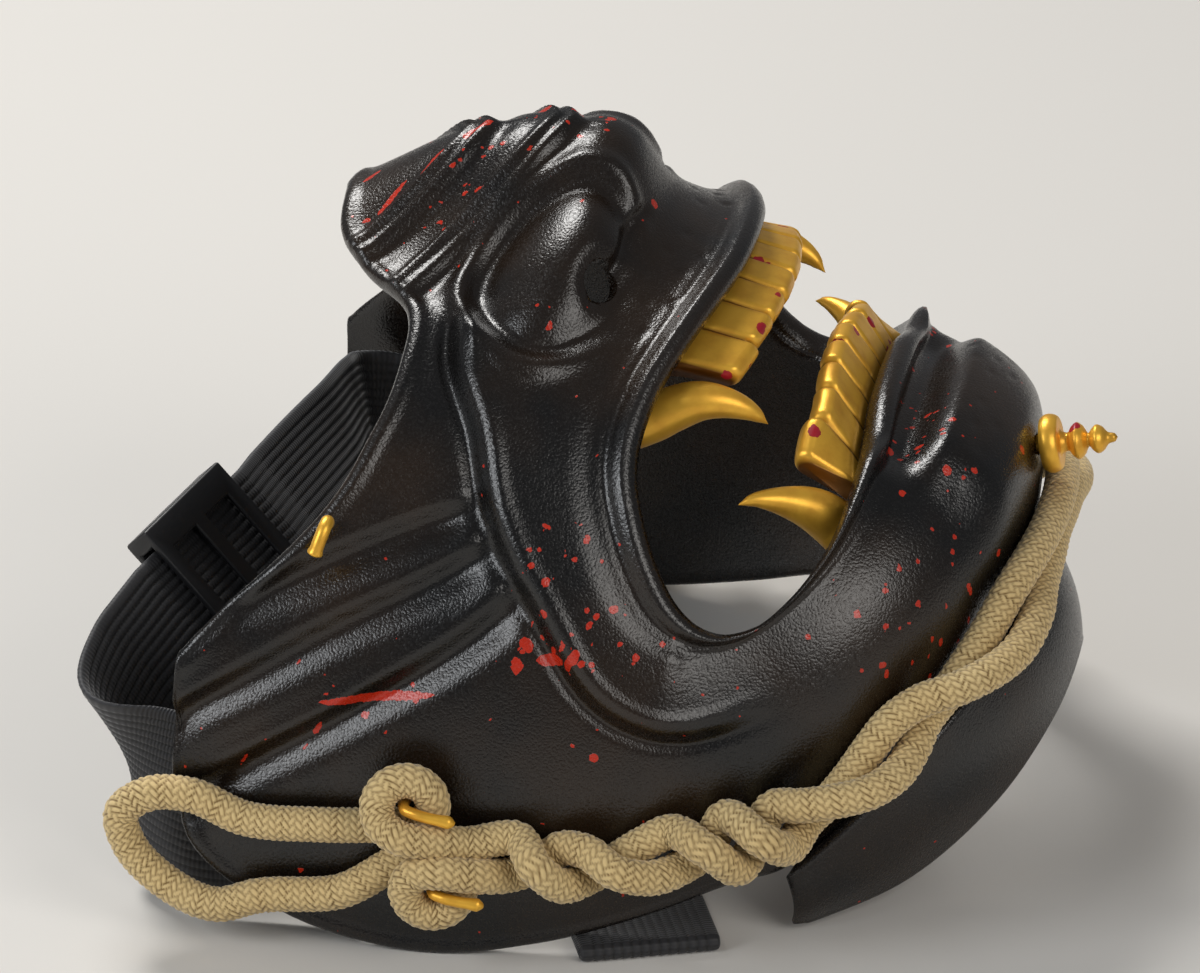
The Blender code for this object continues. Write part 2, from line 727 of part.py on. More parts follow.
def evaluated_points(objects):
    """The points of objects as they are drawn, in world space."""
    bpy.context.view_layer.update()
    graph = bpy.context.evaluated_depsgraph_get()
    found = []
    for obj in objects:
        drawn = obj.evaluated_get(graph)
        mesh = drawn.to_mesh()
        points = np.empty(len(mesh.vertices) * 3)
        mesh.vertices.foreach_get("co", points)
        world = np.array(drawn.matrix_world)
        found.append(points.reshape(-1, 3) @ world[:3, :3].T + world[:3, 3])
        drawn.to_mesh_clear()
    return np.concatenate(found)


def lying(tilt):
    """The rotation that lays the mask on its back, chin towards +X, and lifts its brow by a tilt."""
    s, c = math.sin(tilt), math.cos(tilt)
    return np.array([[0, s, -c], [-1, 0, 0], [0, c, s]])


def rest(shell, plate):
    """The rotation and the lift with which the jaw and the throat plate both touch the ground."""
    shell_points, plate_points = evaluated_points([shell]), evaluated_points([plate])
    low, high = 0.0, math.radians(45)
    for _ in range(40):
        tilt = (low + high) / 2
        turn = lying(tilt)
        shell_low = (shell_points @ turn.T)[:, 2].min()
        plate_low = (plate_points @ turn.T)[:, 2].min()
        low, high = (tilt, high) if shell_low < plate_low else (low, tilt)
    return turn, -min(shell_low, plate_low)


# The head strap's route where the mask lies: x as a share of FACE_HEIGHT, y of half of FACE_WIDTH, z of
# FACE_DEPTH, and lean, the share of the band's width that leans back.
HEAD_STRAP = table(
    "x y z lean",
    [
        (-0.230, -0.903, 0.200, 0.00),
        (-0.330, -0.908, 0.200, 0.00),
        (-0.440, -0.901, 0.205, 0.05),
        (-0.515, -0.810, 0.240, 0.25),
        (-0.500, -0.650, 0.300, 0.55),
        (-0.450, -0.460, 0.360, 0.72),
        (-0.395, -0.180, 0.400, 0.72),
        (-0.365, 0.140, 0.405, 0.65),
        (-0.360, 0.440, 0.380, 0.45),
        (-0.375, 0.660, 0.345, 0.25),
        (-0.385, 0.780, 0.310, 0.08),
        (-0.360, 0.846, 0.285, 0.00),
        (-0.300, 0.875, 0.265, 0.00),
        (-0.230, 0.886, 0.250, 0.00),
    ],
)
BUCKLE_AT = 0.43


def strap_frame(t):
    """A place on the head strap with its run, its width direction and its face direction."""
    stations = np.linspace(0, 1, len(HEAD_STRAP["x"]))
    scale = np.array([FACE_HEIGHT, FACE_WIDTH / 2, FACE_DEPTH])

    def at(share):
        return np.array([smooth(stations, HEAD_STRAP[name], share) for name in "xyz"]) * scale

    run = at(min(t + 0.005, 1.0)) - at(max(t - 0.005, 0.0))
    run = run / np.linalg.norm(run)
    lean = float(smooth(stations, HEAD_STRAP["lean"], t))
    width = np.array([-lean, 0, math.sqrt(1 - lean * lean)])
    width = width - run * (width @ run)
    width = width / np.linalg.norm(width)
    return at(t), run, width, np.cross(run, width)


def rectangle(centre, width, face, across, thick):
    corners = [(-1, -1), (1, -1), (1, 1), (-1, 1)]
    return [centre + width * across / 2 * a + face * thick / 2 * b for a, b in corners]


def head_strap(material):
    """The band behind the mask, from cheek to cheek, straight where it runs through its buckle."""
    middle, run, width, face = strap_frame(BUCKLE_AT)
    frames = [(middle + run * share * BUCKLE_LENGTH, width, face) for share in (-0.7, 0.0, 0.7)]
    before, after = [], []
    for t in np.linspace(0, 1, 45):
        centre, _, across, out = strap_frame(t)
        if np.linalg.norm(centre - middle) > BUCKLE_LENGTH:
            (before if t < BUCKLE_AT else after).append((centre, across, out))
    rings = [
        rectangle(*frame, HEAD_STRAP_WIDTH, HEAD_STRAP_THICKNESS) for frame in before + frames + after
    ]
    return capped_loft("head_strap", np.array(rings), material)


def box(name, size, material):
    mesh = bpy.data.meshes.new(name)
    build = bmesh.new()
    bmesh.ops.create_cube(build, size=1, matrix=Matrix.Diagonal((*size, 1)))
    build.to_mesh(mesh)
    build.free()
    obj = bpy.data.objects.new(name, mesh)
    if material:
        obj.data.materials.append(material)
    return obj


def strap_buckle(material, cutters):
    """A slider on the head strap: the band runs through it, under two bars and a middle one."""
    centre, run, width, face = strap_frame(BUCKLE_AT)
    place = Matrix(np.column_stack([run, width, face]).tolist()).to_4x4()
    place.translation = centre
    inside = HEAD_STRAP_WIDTH + 4 * SEAT_GAP
    buckle = box("strap_buckle", (BUCKLE_LENGTH, inside + 2 * BUCKLE_RIM, BUCKLE_THICKNESS), material)
    slot_depth = HEAD_STRAP_THICKNESS + 6 * SEAT_GAP
    slot = box("buckle_slot", (2 * BUCKLE_LENGTH, inside, slot_depth), None)
    window = (BUCKLE_LENGTH - 3 * BUCKLE_RIM) / 2
    tools = [slot]
    for i in (-1, 1):
        opening = box(f"buckle_window_{i + 2}", (window, inside, 2 * BUCKLE_THICKNESS), None)
        opening.location.x = i * (window + BUCKLE_RIM) / 2
        tools.append(opening)
    for tool in tools:
        tool.matrix_world = place @ Matrix.Translation(tool.location)
        tool.hide_render = True
        tool.display_type = "WIRE"
        cutters.objects.link(tool)
        cut(buckle, tool)
    buckle.matrix_world = place
    return buckle


# The neck strap's near end and its direction where the mask lies: x as a share of FACE_HEIGHT and y of
# half of FACE_WIDTH.
NECK_STRAP_AT = (0.15, -0.92)
NECK_STRAP_AIM = (-0.35, 0.937)


def neck_strap(material):
    """A band on the ground under the jaw, with its near end folded back on itself."""
    start = np.array([NECK_STRAP_AT[0] * FACE_HEIGHT, NECK_STRAP_AT[1] * FACE_WIDTH / 2, 0])
    aim = np.array([*NECK_STRAP_AIM, 0])
    aim = aim / np.linalg.norm(aim)
    width = np.array([aim[1], -aim[0], 0])
    up = np.array([0, 0, 1])
    radius = NECK_STRAP_THICKNESS / 2 + SEAT_GAP
    low = NECK_STRAP_THICKNESS / 2
    path = [(NECK_STRAP_FOLD, low + 2 * radius, 90.0), (0.0, low + 2 * radius, 90.0)]
    for angle in np.linspace(90, 270, 7)[1:-1]:
        turn = math.radians(angle)
        path.append((radius * math.cos(turn), low + radius + radius * math.sin(turn), angle))
    path += [(0.0, low, 270.0), (NECK_STRAP_LENGTH, low, 270.0)]
    rings = []
    for along, height, angle in path:
        turn = math.radians(angle)
        face = aim * math.cos(turn) + up * math.sin(turn)
        centre = start + aim * along + up * height
        rings.append(rectangle(centre, width, face, NECK_STRAP_WIDTH, NECK_STRAP_THICKNESS))
    return capped_loft("neck_strap", np.array(rings), material)


def finish(name, colour, roughness, metallic):
    material = bpy.data.materials.new(name)
    material.use_nodes = True
    shader = material.node_tree.nodes["Principled BSDF"]
    shader.inputs["Base Color"].default_value = (*colour, 1)
    shader.inputs["Roughness"].default_value = roughness
    shader.inputs["Metallic"].default_value = metallic
    return material


def new_collection(name):
    collection = bpy.data.collections.new(name)
    bpy.context.scene.collection.children.link(collection)
    return collection


def mask_pieces(cutters):
    """The pieces that the shell carries, as worn."""
    lacquer = finish("black_lacquer", (0.012, 0.011, 0.010), 0.35, 0.0)
    gold = finish("gold_paint", (0.75, 0.42, 0.09), 0.35, 0.75)
    tan = finish("tan_cord", (0.62, 0.47, 0.26), 0.9, 0.0)
    shell = looped_grid("face_shell", shell_rings(SPOKES, OUTER_ROWS, INNER_ROWS), lacquer)
    pieces = [
        shell,
        tooth_row("upper_teeth", True, gold),
        tooth_row("lower_teeth", False, gold),
        chin_peg(gold),
        throat_plate(lacquer),
        wire("tie_cord", cord_points(), CORD_DIAMETER / 2, tan, closed=True),
    ]
    peg_normal = outward(0.0, PEG_AT)
    hole = PEG_SHANK_RADIUS + SEAT_GAP
    tools = [hole_cutter("peg_hole", form(0.0, PEG_AT), peg_normal, hole, 6 * WALL)]
    for side, hand in ((1, "right"), (-1, "left")):
        pieces.append(fang(f"upper_fang_{hand}", UPPER_FANG, FANG_RADIUS, side, gold))
        pieces.append(fang(f"lower_fang_{hand}", LOWER_FANG, LOWER_FANG_RADIUS, side, gold))
        pieces.append(cheek_hook(f"cheek_hook_{hand}", side, gold))
        for height, at in JAW_HOOKS.items():
            pieces.append(jaw_hook(f"jaw_hook_{height}_{hand}", at, side, gold))
        aim = (side * NOSTRIL_AIM[0], *NOSTRIL_AIM[1:])
        tools.append(hole_cutter(f"nostril_{hand}", nostril_centre(side), aim, NOSTRIL_RADIUS, 8 * WALL))
    for tool in tools:
        cutters.objects.link(tool)
        cut(shell, tool)
    return pieces


def nostril_centre(side):
    """A point on the form at the nostril, found on the rib form and moved forward with the wing."""
    x, z = NOSTRIL_AT[0] * NOSE_HALF_WIDTH, NOSTRIL_AT[1] * FACE_HEIGHT
    around = np.linspace(0.05, 0.35, 61)
    down = np.linspace(1.4, 2.6, 61)
    a, d = np.meshgrid(around, down)
    points = form(a.ravel(), d.ravel())
    nearest = np.argmin(np.hypot(points[:, 0] - x, points[:, 2] - z))
    return points[nearest] * np.array([side, 1, 1])


def main():
    for obj in list(bpy.data.objects):
        bpy.data.objects.remove(obj)
    guard = new_collection("face_guard")
    cutters = new_collection("cutters")
    pieces = mask_pieces(cutters)
    for piece in pieces:
        guard.objects.link(piece)
    by_name = {piece.name: piece for piece in pieces}
    turn, lift = rest(by_name["face_shell"], by_name["throat_plate"])

    webbing = finish("black_webbing", (0.015, 0.015, 0.016), 0.85, 0.0)
    plastic = finish("buckle_plastic", (0.012, 0.012, 0.013), 0.4, 0.0)
    straps = [head_strap(webbing), strap_buckle(plastic, cutters), neck_strap(webbing)]
    for strap in straps:
        guard.objects.link(strap)

    ground = bpy.data.objects.new("ground_frame", None)
    lay_down = bpy.data.objects.new("lay_down", None)
    guard.objects.link(ground)
    guard.objects.link(lay_down)
    for piece in pieces + list(cutters.objects):
        if piece.name.startswith("buckle"):
            piece.parent = ground
        else:
            piece.parent = lay_down
    for strap in straps:
        strap.parent = ground
    placing = Matrix(turn.tolist()).to_4x4()
    placing.translation = (0, 0, lift)
    lay_down.parent = ground
    lay_down.matrix_local = placing
    points = evaluated_points(pieces + straps)
    middle = (points.min(axis=0) + points.max(axis=0)) / 2
    ground.location = (-middle[0], -middle[1], 0)


if __name__ == "__main__":
    main()
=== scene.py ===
"""A samurai face guard on its back: lacquered half mask, gilt teeth and pins, braided cord, webbing straps.

The file is laid out as a Blender add-on and is run as a script. Each operator builds one piece, or one
group of like pieces, over the fixed frame. Functions work in the worn position: x to the wearer's right,
y forward, z up, from the middle of the mouth. One matrix then lays the pieces down.
"""

import math

import bmesh
import bpy
import numpy as np
from bpy.props import FloatProperty, FloatVectorProperty, IntProperty, PointerProperty
from mathutils import Matrix, Vector


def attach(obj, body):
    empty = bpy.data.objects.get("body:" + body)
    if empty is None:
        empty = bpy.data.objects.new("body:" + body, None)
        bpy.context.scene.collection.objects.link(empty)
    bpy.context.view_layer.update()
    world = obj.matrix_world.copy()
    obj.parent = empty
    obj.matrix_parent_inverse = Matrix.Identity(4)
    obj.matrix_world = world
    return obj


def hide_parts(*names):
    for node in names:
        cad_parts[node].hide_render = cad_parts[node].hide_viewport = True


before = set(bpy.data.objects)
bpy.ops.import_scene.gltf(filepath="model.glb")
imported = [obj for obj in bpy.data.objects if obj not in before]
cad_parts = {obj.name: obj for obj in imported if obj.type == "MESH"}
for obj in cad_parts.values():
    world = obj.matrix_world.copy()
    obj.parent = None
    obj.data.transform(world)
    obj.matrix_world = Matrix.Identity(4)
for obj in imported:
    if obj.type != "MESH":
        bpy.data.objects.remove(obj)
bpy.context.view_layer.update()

bl_info = {
    "name": "Samurai face guard",
    "version": (1, 0, 0),
    "blender": (4, 5, 0),
    "location": "View3D > Sidebar > Face guard",
    "description": "Builds a lacquered samurai face guard with gilt teeth, a braided cord and straps",
    "category": "Object",
}

MM = 0.001
BODY = "root"

# The mask's own sizes, the same as in the solids
FACE_WIDTH = 148 * MM
FACE_DEPTH = 100 * MM
FACE_HEIGHT = 136 * MM
WALL = 3.0 * MM
NOSE_REACH = 18 * MM
NOSE_HALF_WIDTH = 16 * MM
WING_RADIUS = 11 * MM
WING_REACH = 6.5 * MM
WING_BLEND = 0.15
NOSTRIL_RADIUS = 3.6 * MM
LIP_ROLL = 2.6 * MM
LIP_WIDTH = 6 * MM
FOLD_HEIGHT = 3.6 * MM
FOLD_WIDTH = 20 * MM
FOLD_EDGE = 3.2 * MM
FLUTE_DEPTH = 2.0 * MM
FLUTE_WIDTH = 6.0 * MM
CHIN_STEP = 4.0 * MM
TOOTH_LENGTH = 9 * MM
TOOTH_ROOT = 4.5 * MM
TOOTH_ROOT_LEAN = 1.2 * MM
TOOTH_THICKNESS = 4.4 * MM
TOOTH_GROOVE = 0.9 * MM
FANG_RADIUS = 4.0 * MM
LOWER_FANG_RADIUS = 4.2 * MM
PEG_RADIUS = 5 * MM
PEG_LENGTH = 13 * MM
PEG_SHANK_RADIUS = 1.6 * MM
HOOK_WIRE_RADIUS = 0.95 * MM
CHEEK_WIRE_RADIUS = 1.2 * HOOK_WIRE_RADIUS
JAW_HOOK_REACH = 9 * MM
CHEEK_HOOK_REACH = 6 * MM
PLATE_THICKNESS = 2.4 * MM
CORD_DIAMETER = 6 * MM
HEAD_STRAP_WIDTH = 36 * MM
HEAD_STRAP_THICKNESS = 1.8 * MM
BUCKLE_LENGTH = 24 * MM
BUCKLE_THICKNESS = 6.0 * MM
BUCKLE_RIM = 3.2 * MM
NECK_STRAP_WIDTH = 24 * MM
NECK_STRAP_THICKNESS = 1.3 * MM
NECK_STRAP_LENGTH = 105 * MM
NECK_STRAP_FOLD = 32 * MM
SEAT_GAP = 0.3 * MM

# The finer shapes of the nose and the chin: how sharp the bridge is, how a wing swells forward and
# sideways, and the chin's half widths, its heights and the groove over it as shares of the face
NOSE_SHARPNESS = 2.4
WING_FORWARD = 0.85
WING_SIDEWAYS = 0.5
CHIN_SIDES = (0.44, 0.28)
CHIN_TOP = (-0.25, -0.30)
CHIN_FOOT = (-0.46, -0.38)
CHIN_GROOVE = (-0.235, 0.035)
CHIN_GROOVE_DEPTH = 0.8 * CHIN_STEP

# How finely the shell is drawn: samples along a spoke, rows on its inside, how much the rows crowd to the
# lip, and the angles of the points between a rim's two edges
SPOKE_SAMPLES = 160
INSIDE_ROWS = 30
LIP_CROWDING = 1.1
RIM_BENDS = np.linspace(0, math.pi, 9)[1:-1]
# How strongly the painted highlight lightens the rims
RIM_HIGHLIGHT = 0.7
SIDES = {"right": 1, "left": -1}

# Where the worn position lies on the ground: its lean back, its lift and the whole object's centring
LEAN = 0.2665928
LIFT = -0.8177 * MM
CENTRING = -4.9448 * MM


def lay_down():
    s, c = math.sin(LEAN), math.cos(LEAN)
    turn = Matrix(((0, s, -c), (-1, 0, 0), (0, c, s))).to_4x4()
    turn.translation = (CENTRING, 0, LIFT)
    return turn


def table(columns, rows):
    """A short table as one array for each named column."""
    return {name: np.array([row[i] for row in rows], float) for i, name in enumerate(columns.split())}


# The form of the face, as in the solids: ribs from the eyes down to the throat, shares of the sizes
RIBS = table("front_y front_z rear_y rear_z half_width fullness", [
    (0.84, 0.566, 0.330, 0.522, 0.970, 0.05),
    (0.96, 0.368, 0.040, 0.456, 0.990, 0.05),
    (1.03, 0.184, -0.050, 0.309, 1.000, 0.04),
    (1.07, 0.000, -0.045, 0.132, 1.000, 0.04),
    (0.94, -0.175, 0.020, 0.000, 0.970, 0.07),
    (0.905, -0.320, 0.100, -0.110, 0.910, 0.06),
    (0.84, -0.405, 0.160, -0.184, 0.850, 0.02),
    (0.66, -0.441, 0.200, -0.243, 0.780, 0.00),
    (0.48, -0.455, 0.240, -0.280, 0.710, 0.00),
])
# Lines from the mouth's edge to the outline, from the nose round the mouth to the throat
SPOKES = table("turn mouth_around mouth_down edge_around edge_down", [
    (0.00, 0.000, 2.96, 0.000, 0.20),
    (0.06, 0.090, 2.95, 0.100, 0.27),
    (0.13, 0.180, 2.90, 0.190, 0.55),
    (0.20, 0.270, 2.83, 0.270, 0.90),
    (0.27, 0.360, 2.78, 0.360, 1.02),
    (0.34, 0.440, 2.84, 0.470, 1.05),
    (0.40, 0.495, 3.02, 0.600, 0.93),
    (0.44, 0.535, 3.25, 0.750, 0.55),
    (0.47, 0.560, 3.48, 0.900, 0.20),
    (0.50, 0.570, 3.68, 0.990, 0.05),
    (0.53, 0.570, 3.85, 1.000, 0.55),
    (0.57, 0.560, 4.03, 1.000, 1.40),
    (0.61, 0.535, 4.20, 1.000, 2.50),
    (0.66, 0.485, 4.30, 0.995, 3.80),
    (0.71, 0.420, 4.33, 0.990, 5.00),
    (0.77, 0.340, 4.28, 0.970, 6.40),
    (0.82, 0.260, 4.22, 0.940, 7.70),
    (0.86, 0.200, 4.20, 0.720, 8.00),
    (0.93, 0.100, 4.12, 0.360, 8.00),
    (1.00, 0.000, 4.10, 0.000, 8.00),
])
NOSE = table("up reach half_width", [
    (0.000, 0.00, 1.30), (0.070, 0.02, 1.40), (0.125, 0.25, 1.45),
    (0.190, 0.85, 1.30), (0.290, 1.00, 1.05), (0.400, 0.84, 0.90),
    (0.500, 0.45, 0.85), (0.640, 0.05, 0.80),
])
WING_AT = (1.55, 0.222)
NOSTRIL_AT = (1.68, 0.165)
NOSTRIL_AIM = (0.3, 0.75, -0.6)
FOLD = table("around down", [
    (0.24, 1.30), (0.35, 1.45), (0.44, 1.80), (0.53, 2.15),
    (0.61, 2.65), (0.68, 3.30), (0.68, 4.05), (0.62, 4.75),
])
FLUTES = [
    table("around down", [(0.52, 2.10), (0.57, 1.65), (0.66, 1.05), (0.78, 0.50), (0.92, 0.10)]),
    table("around down", [(0.555, 2.30), (0.62, 1.95), (0.72, 1.35), (0.86, 0.75), (1.00, 0.35)]),
    table("around down", [(0.59, 2.60), (0.67, 2.35), (0.77, 1.85), (0.89, 1.25), (1.02, 0.85)]),
]
# Fine relief that only this file has: the snarl wrinkles of the bridge and the crease over the lip
WRINKLES = [
    table("around down", [(-0.02, 0.98), (0.05, 0.84), (0.10, 0.66), (0.155, 0.44), (0.20, 0.30)]),
    table("around down", [(-0.02, 1.50), (0.06, 1.34), (0.13, 1.10), (0.20, 0.88), (0.25, 0.78)]),
]
LIP_CREASE = table("around down", [(0.07, 2.22), (0.13, 2.15), (0.20, 2.18), (0.27, 2.10)])

# Ridges and grooves along those lines, along the rims and round the nostrils: how far off and how wide in
# mm, and how high as a share of the relief
FOLD_BEADS = [(-1.4, 1.1, 0.8), (3.6, 1.0, -1.0)]
FLUTE_BEADS = [(3.4, 1.5, 1.1), (0.0, 0.9, -0.4)]
WRINKLE_BEADS = [(1.2, 1.0, 1.0), (-1.5, 1.2, 0.9), (-4.6, 2.0, -0.5)]
CREASE_BEADS = [(0.0, 1.3, -1.5)]
RING_BEADS = [(15.5, 1.9, 1.0), (12.4, 1.7, -0.55)]
LIP_BEADS = [(2.2, 1.2, 0.8), (5.4, 1.1, -1.0)]
EDGE_BEADS = [(2.0, 1.3, 0.7)]


def smooth(xs, ys, x):
    """A smooth curve through the points of a table, read at x."""
    slopes = np.gradient(ys, xs)
    x = np.clip(np.asarray(x, float), xs[0], xs[-1])
    i = np.clip(np.searchsorted(xs, x, side="right") - 1, 0, len(xs) - 2)
    span = xs[i + 1] - xs[i]
    t = (x - xs[i]) / span
    rise = (1 + 2 * t) * (1 - t) ** 2 * ys[i] + t * t * (3 - 2 * t) * ys[i + 1]
    return rise + span * (t * (1 - t) ** 2 * slopes[i] + t * t * (t - 1) * slopes[i + 1])


def read(columns, share):
    """Each column of a table, smooth from row to row, at a share of the way from the first to the last."""
    stations = np.linspace(0, 1, len(next(iter(columns.values()))))
    return [smooth(stations, column, share) for column in columns.values()]


def step(low, high, x):
    """0 below low, 1 above high and smooth between."""
    t = np.clip((x - low) / (high - low), 0, 1)
    return t * t * (3 - 2 * t)


def unit(vectors):
    return vectors / np.linalg.norm(vectors, axis=-1, keepdims=True)


def bump(x, middle, width):
    """A rounded ridge of height 1."""
    return np.exp(-(((x - middle) / width) ** 2))


def beads(off, rows):
    """The height of a table of ridges and grooves at a distance from their line."""
    return sum(height * bump(off, place * MM, width * MM) for place, width, height in rows)


def rib_form(around, down):
    rows = np.arange(len(RIBS["front_y"]), dtype=float)
    front_y, front_z, rear_y, rear_z, half_width, fullness = (
        smooth(rows, RIBS[name], down) for name in RIBS
    )
    angle = around * math.pi / 2
    bulge = 1 + fullness * np.sin(2 * angle) ** 2
    forward = np.cos(angle) * bulge
    x = half_width * FACE_WIDTH / 2 * np.sin(angle) * bulge
    y = (rear_y + (front_y - rear_y) * forward) * FACE_DEPTH
    z = (rear_z + (front_z - rear_z) * forward) * FACE_HEIGHT
    return np.stack([x, y, z], -1)


def nose_and_chin(point):
    """How far the nose, its wings and the chin stand forward of the plain form."""
    x, z = np.abs(point[..., 0]), point[..., 2]
    up = z / FACE_HEIGHT
    reach = smooth(NOSE["up"], NOSE["reach"], up) * NOSE_REACH
    width = smooth(NOSE["up"], NOSE["half_width"], up) * NOSE_HALF_WIDTH
    forward = reach * np.exp(-((x / width) ** NOSE_SHARPNESS))
    off = np.hypot(x - WING_AT[0] * NOSE_HALF_WIDTH, z - WING_AT[1] * FACE_HEIGHT)
    inside = 1 - (off / WING_RADIUS) ** 2
    wing = WING_REACH * (inside + np.sqrt(inside**2 + WING_BLEND**2)) / 2
    chin_x = step(CHIN_SIDES[0] * FACE_WIDTH / 2, CHIN_SIDES[1] * FACE_WIDTH / 2, x)
    chin = CHIN_STEP * chin_x * step(*CHIN_TOP, up) * step(*CHIN_FOOT, up)
    groove = CHIN_GROOVE_DEPTH * chin_x * bump(up, *CHIN_GROOVE)
    moved = np.zeros(point.shape)
    moved[..., 1] = forward + WING_FORWARD * wing + chin - groove
    moved[..., 0] = WING_SIDEWAYS * wing * np.sign(point[..., 0])
    return moved


def form(around, down):
    point = rib_form(around, down)
    return point + nose_and_chin(point)


def outward(around, down):
    """The form's unit normal, pointing out of the face."""
    d = 1e-3
    down = np.clip(down, 10 * d, len(RIBS["front_y"]) - 1 - 10 * d)
    across = form(around + d, down) - form(around - d, down)
    along = form(around, down + 10 * d) - form(around, down - 10 * d)
    return unit(np.cross(across, along))


def off_form(around, down, height):
    """A point that stands off the form by a height, or lies behind it by a negative one."""
    return form(around, down) + outward(around, down) * height


def surface_frame(around, down):
    """A place on the form with its outward unit, the unit that runs down the face and the unit across."""
    run = unit(form(around, down + 0.02) - form(around, down - 0.02))
    normal = outward(around, down)
    return form(around, down), normal, run, np.cross(normal, run)


def line_on_form(columns, count=60):
    return form(*read(columns, np.linspace(0, 1, count)))


def side_distance(point, normal, line):
    """For each point: its distance from a line, signed by side, and how far along the line it is."""
    start, run = line[:-1], line[1:] - line[:-1]
    best = np.full(len(point), np.inf)
    side = np.zeros(len(point))
    along = np.zeros(len(point))
    for i in range(len(run)):
        away = point - start[i]
        t = np.clip(away @ run[i] / (run[i] @ run[i]), 0, 1)
        off = away - t[:, None] * run[i]
        distance = np.linalg.norm(off, axis=1)
        near = distance < best
        turned = np.einsum("ij,ij->i", np.cross(run[i], normal), off)
        best = np.where(near, distance, best)
        side = np.where(near, np.sign(turned), side)
        along = np.where(near, (i + t) / len(run), along)
    return best * side, along


def spoke(turn, share):
    """Where on the form a spoke is. turn is -1 to 1 round the mouth, share 0 at it and 1 at the outline."""
    at = np.abs(turn)
    mouth_around, mouth_down, edge_around, edge_down = (
        smooth(SPOKES["turn"], SPOKES[name], at) for name in list(SPOKES)[1:]
    )
    around = mouth_around + (edge_around - mouth_around) * share
    down = mouth_down + (edge_down - mouth_down) * share
    return np.where(turn < 0, -around, around), down


def relief(around, down, from_mouth, from_edge, settings):
    """How far the carving stands out of the form, in metres: what the solids have, then what is finer."""
    side = np.abs(around)
    point, normal = form(side, down), outward(side, down)
    raised = LIP_ROLL * np.exp(-((from_mouth / LIP_WIDTH) ** 4))
    off, along = side_distance(point, normal, line_on_form(FOLD))
    ends = step(0.0, 0.12, along) * step(1.0, 0.80, along)
    plateau = np.where(off < 0, np.exp(-((off / FOLD_WIDTH) ** 2)), step(FOLD_EDGE, 0, off))
    raised = raised + FOLD_HEIGHT * ends * plateau * step(0, 2 * LIP_WIDTH, from_mouth)
    fine = settings.groove * ends * beads(off, FOLD_BEADS)
    for flute in FLUTES:
        off, along = side_distance(point, normal, line_on_form(flute))
        fade = step(0, 0.2, along)
        raised = raised - FLUTE_DEPTH * fade * np.exp(-((off / FLUTE_WIDTH * 2) ** 2))
        fine = fine + settings.groove * fade * beads(off, FLUTE_BEADS)
    for wrinkle in WRINKLES:
        off, along = side_distance(point, normal, line_on_form(wrinkle))
        fade = step(0.0, 0.05, along) * step(1.0, 0.85, along)
        fine = fine + settings.wrinkle * fade * beads(off, WRINKLE_BEADS)
    off, along = side_distance(point, normal, line_on_form(LIP_CREASE))
    fine = fine + settings.groove * step(0, 0.2, along) * step(1, 0.8, along) * beads(off, CREASE_BEADS)
    x, z = point[:, 0] - WING_AT[0] * NOSE_HALF_WIDTH, point[:, 2] - WING_AT[1] * FACE_HEIGHT
    over = step(-0.9, -0.1, np.sin(np.arctan2(z, x)))
    fine = fine + settings.ring * over * beads(np.hypot(x, z), RING_BEADS)
    return raised + fine + settings.groove * (beads(from_mouth, LIP_BEADS) + beads(from_edge, EDGE_BEADS))


def shell_skin(settings):
    """The fine shell as a ring of points for each spoke, with rounded rims, and which points are outside."""
    turns = np.linspace(-1, 1, settings.spokes, endpoint=False)
    dense = np.linspace(0, 1, SPOKE_SAMPLES)
    turn_grid, share_grid = np.meshgrid(turns, dense, indexing="ij")
    around, down = spoke(turn_grid, share_grid)
    steps = np.linalg.norm(np.diff(form(around, down), axis=1), axis=2)
    run = np.concatenate([np.zeros((len(turns), 1)), np.cumsum(steps, axis=1)], axis=1)
    outer = np.linspace(0, 1, settings.rows) ** LIP_CROWDING
    inner = np.linspace(1, 0, INSIDE_ROWS)
    lip_radius = (LIP_ROLL + WALL) / 2
    edge_radius = WALL / 2
    rings, weights = [], []
    for i, turn in enumerate(turns):
        length = run[i, -1]
        at = lip_radius + (length - lip_radius - edge_radius) * outer
        edge = length - edge_radius + edge_radius * np.sin(RIM_BENDS)
        back = edge_radius + (length - 2 * edge_radius) * inner
        lip = lip_radius - lip_radius * np.sin(RIM_BENDS)
        along = np.concatenate([at, edge, back, lip])
        share = np.interp(along, run[i], dense)
        a, d = spoke(np.full(len(share), turn), share)
        first = slice(0, len(at))
        height = np.empty(len(along))
        height[first] = relief(a[first], d[first], at, length - at, settings)
        top = height[len(at) - 1]
        middle = (top - WALL) / 2
        height[len(at) : len(at) + len(edge)] = middle + (top - middle) * np.cos(RIM_BENDS)
        height[len(at) + len(edge) : -len(lip)] = -WALL
        middle = (height[0] - WALL) / 2
        height[-len(lip) :] = middle - (height[0] - middle) * np.cos(RIM_BENDS)
        rings.append(off_form(a, d, height[:, None]))
        weights.append(np.where(np.arange(len(along)) < len(at), 1.0, 0.0))
    return np.array(rings), np.array(weights)


def lattice_faces(count, around, wrap=True):
    """The faces of a skin over closed rings of points. wrap joins the last ring to the first."""
    i = np.arange(count if wrap else count - 1)[:, None]
    k = np.arange(around)[None, :]
    j, m = (i + 1) % count, (k + 1) % around
    corners = [i * around + k, i * around + m, j * around + m, j * around + k]
    return np.stack([np.broadcast_to(c, (len(i), around)) for c in corners], -1).reshape(-1, 4).tolist()


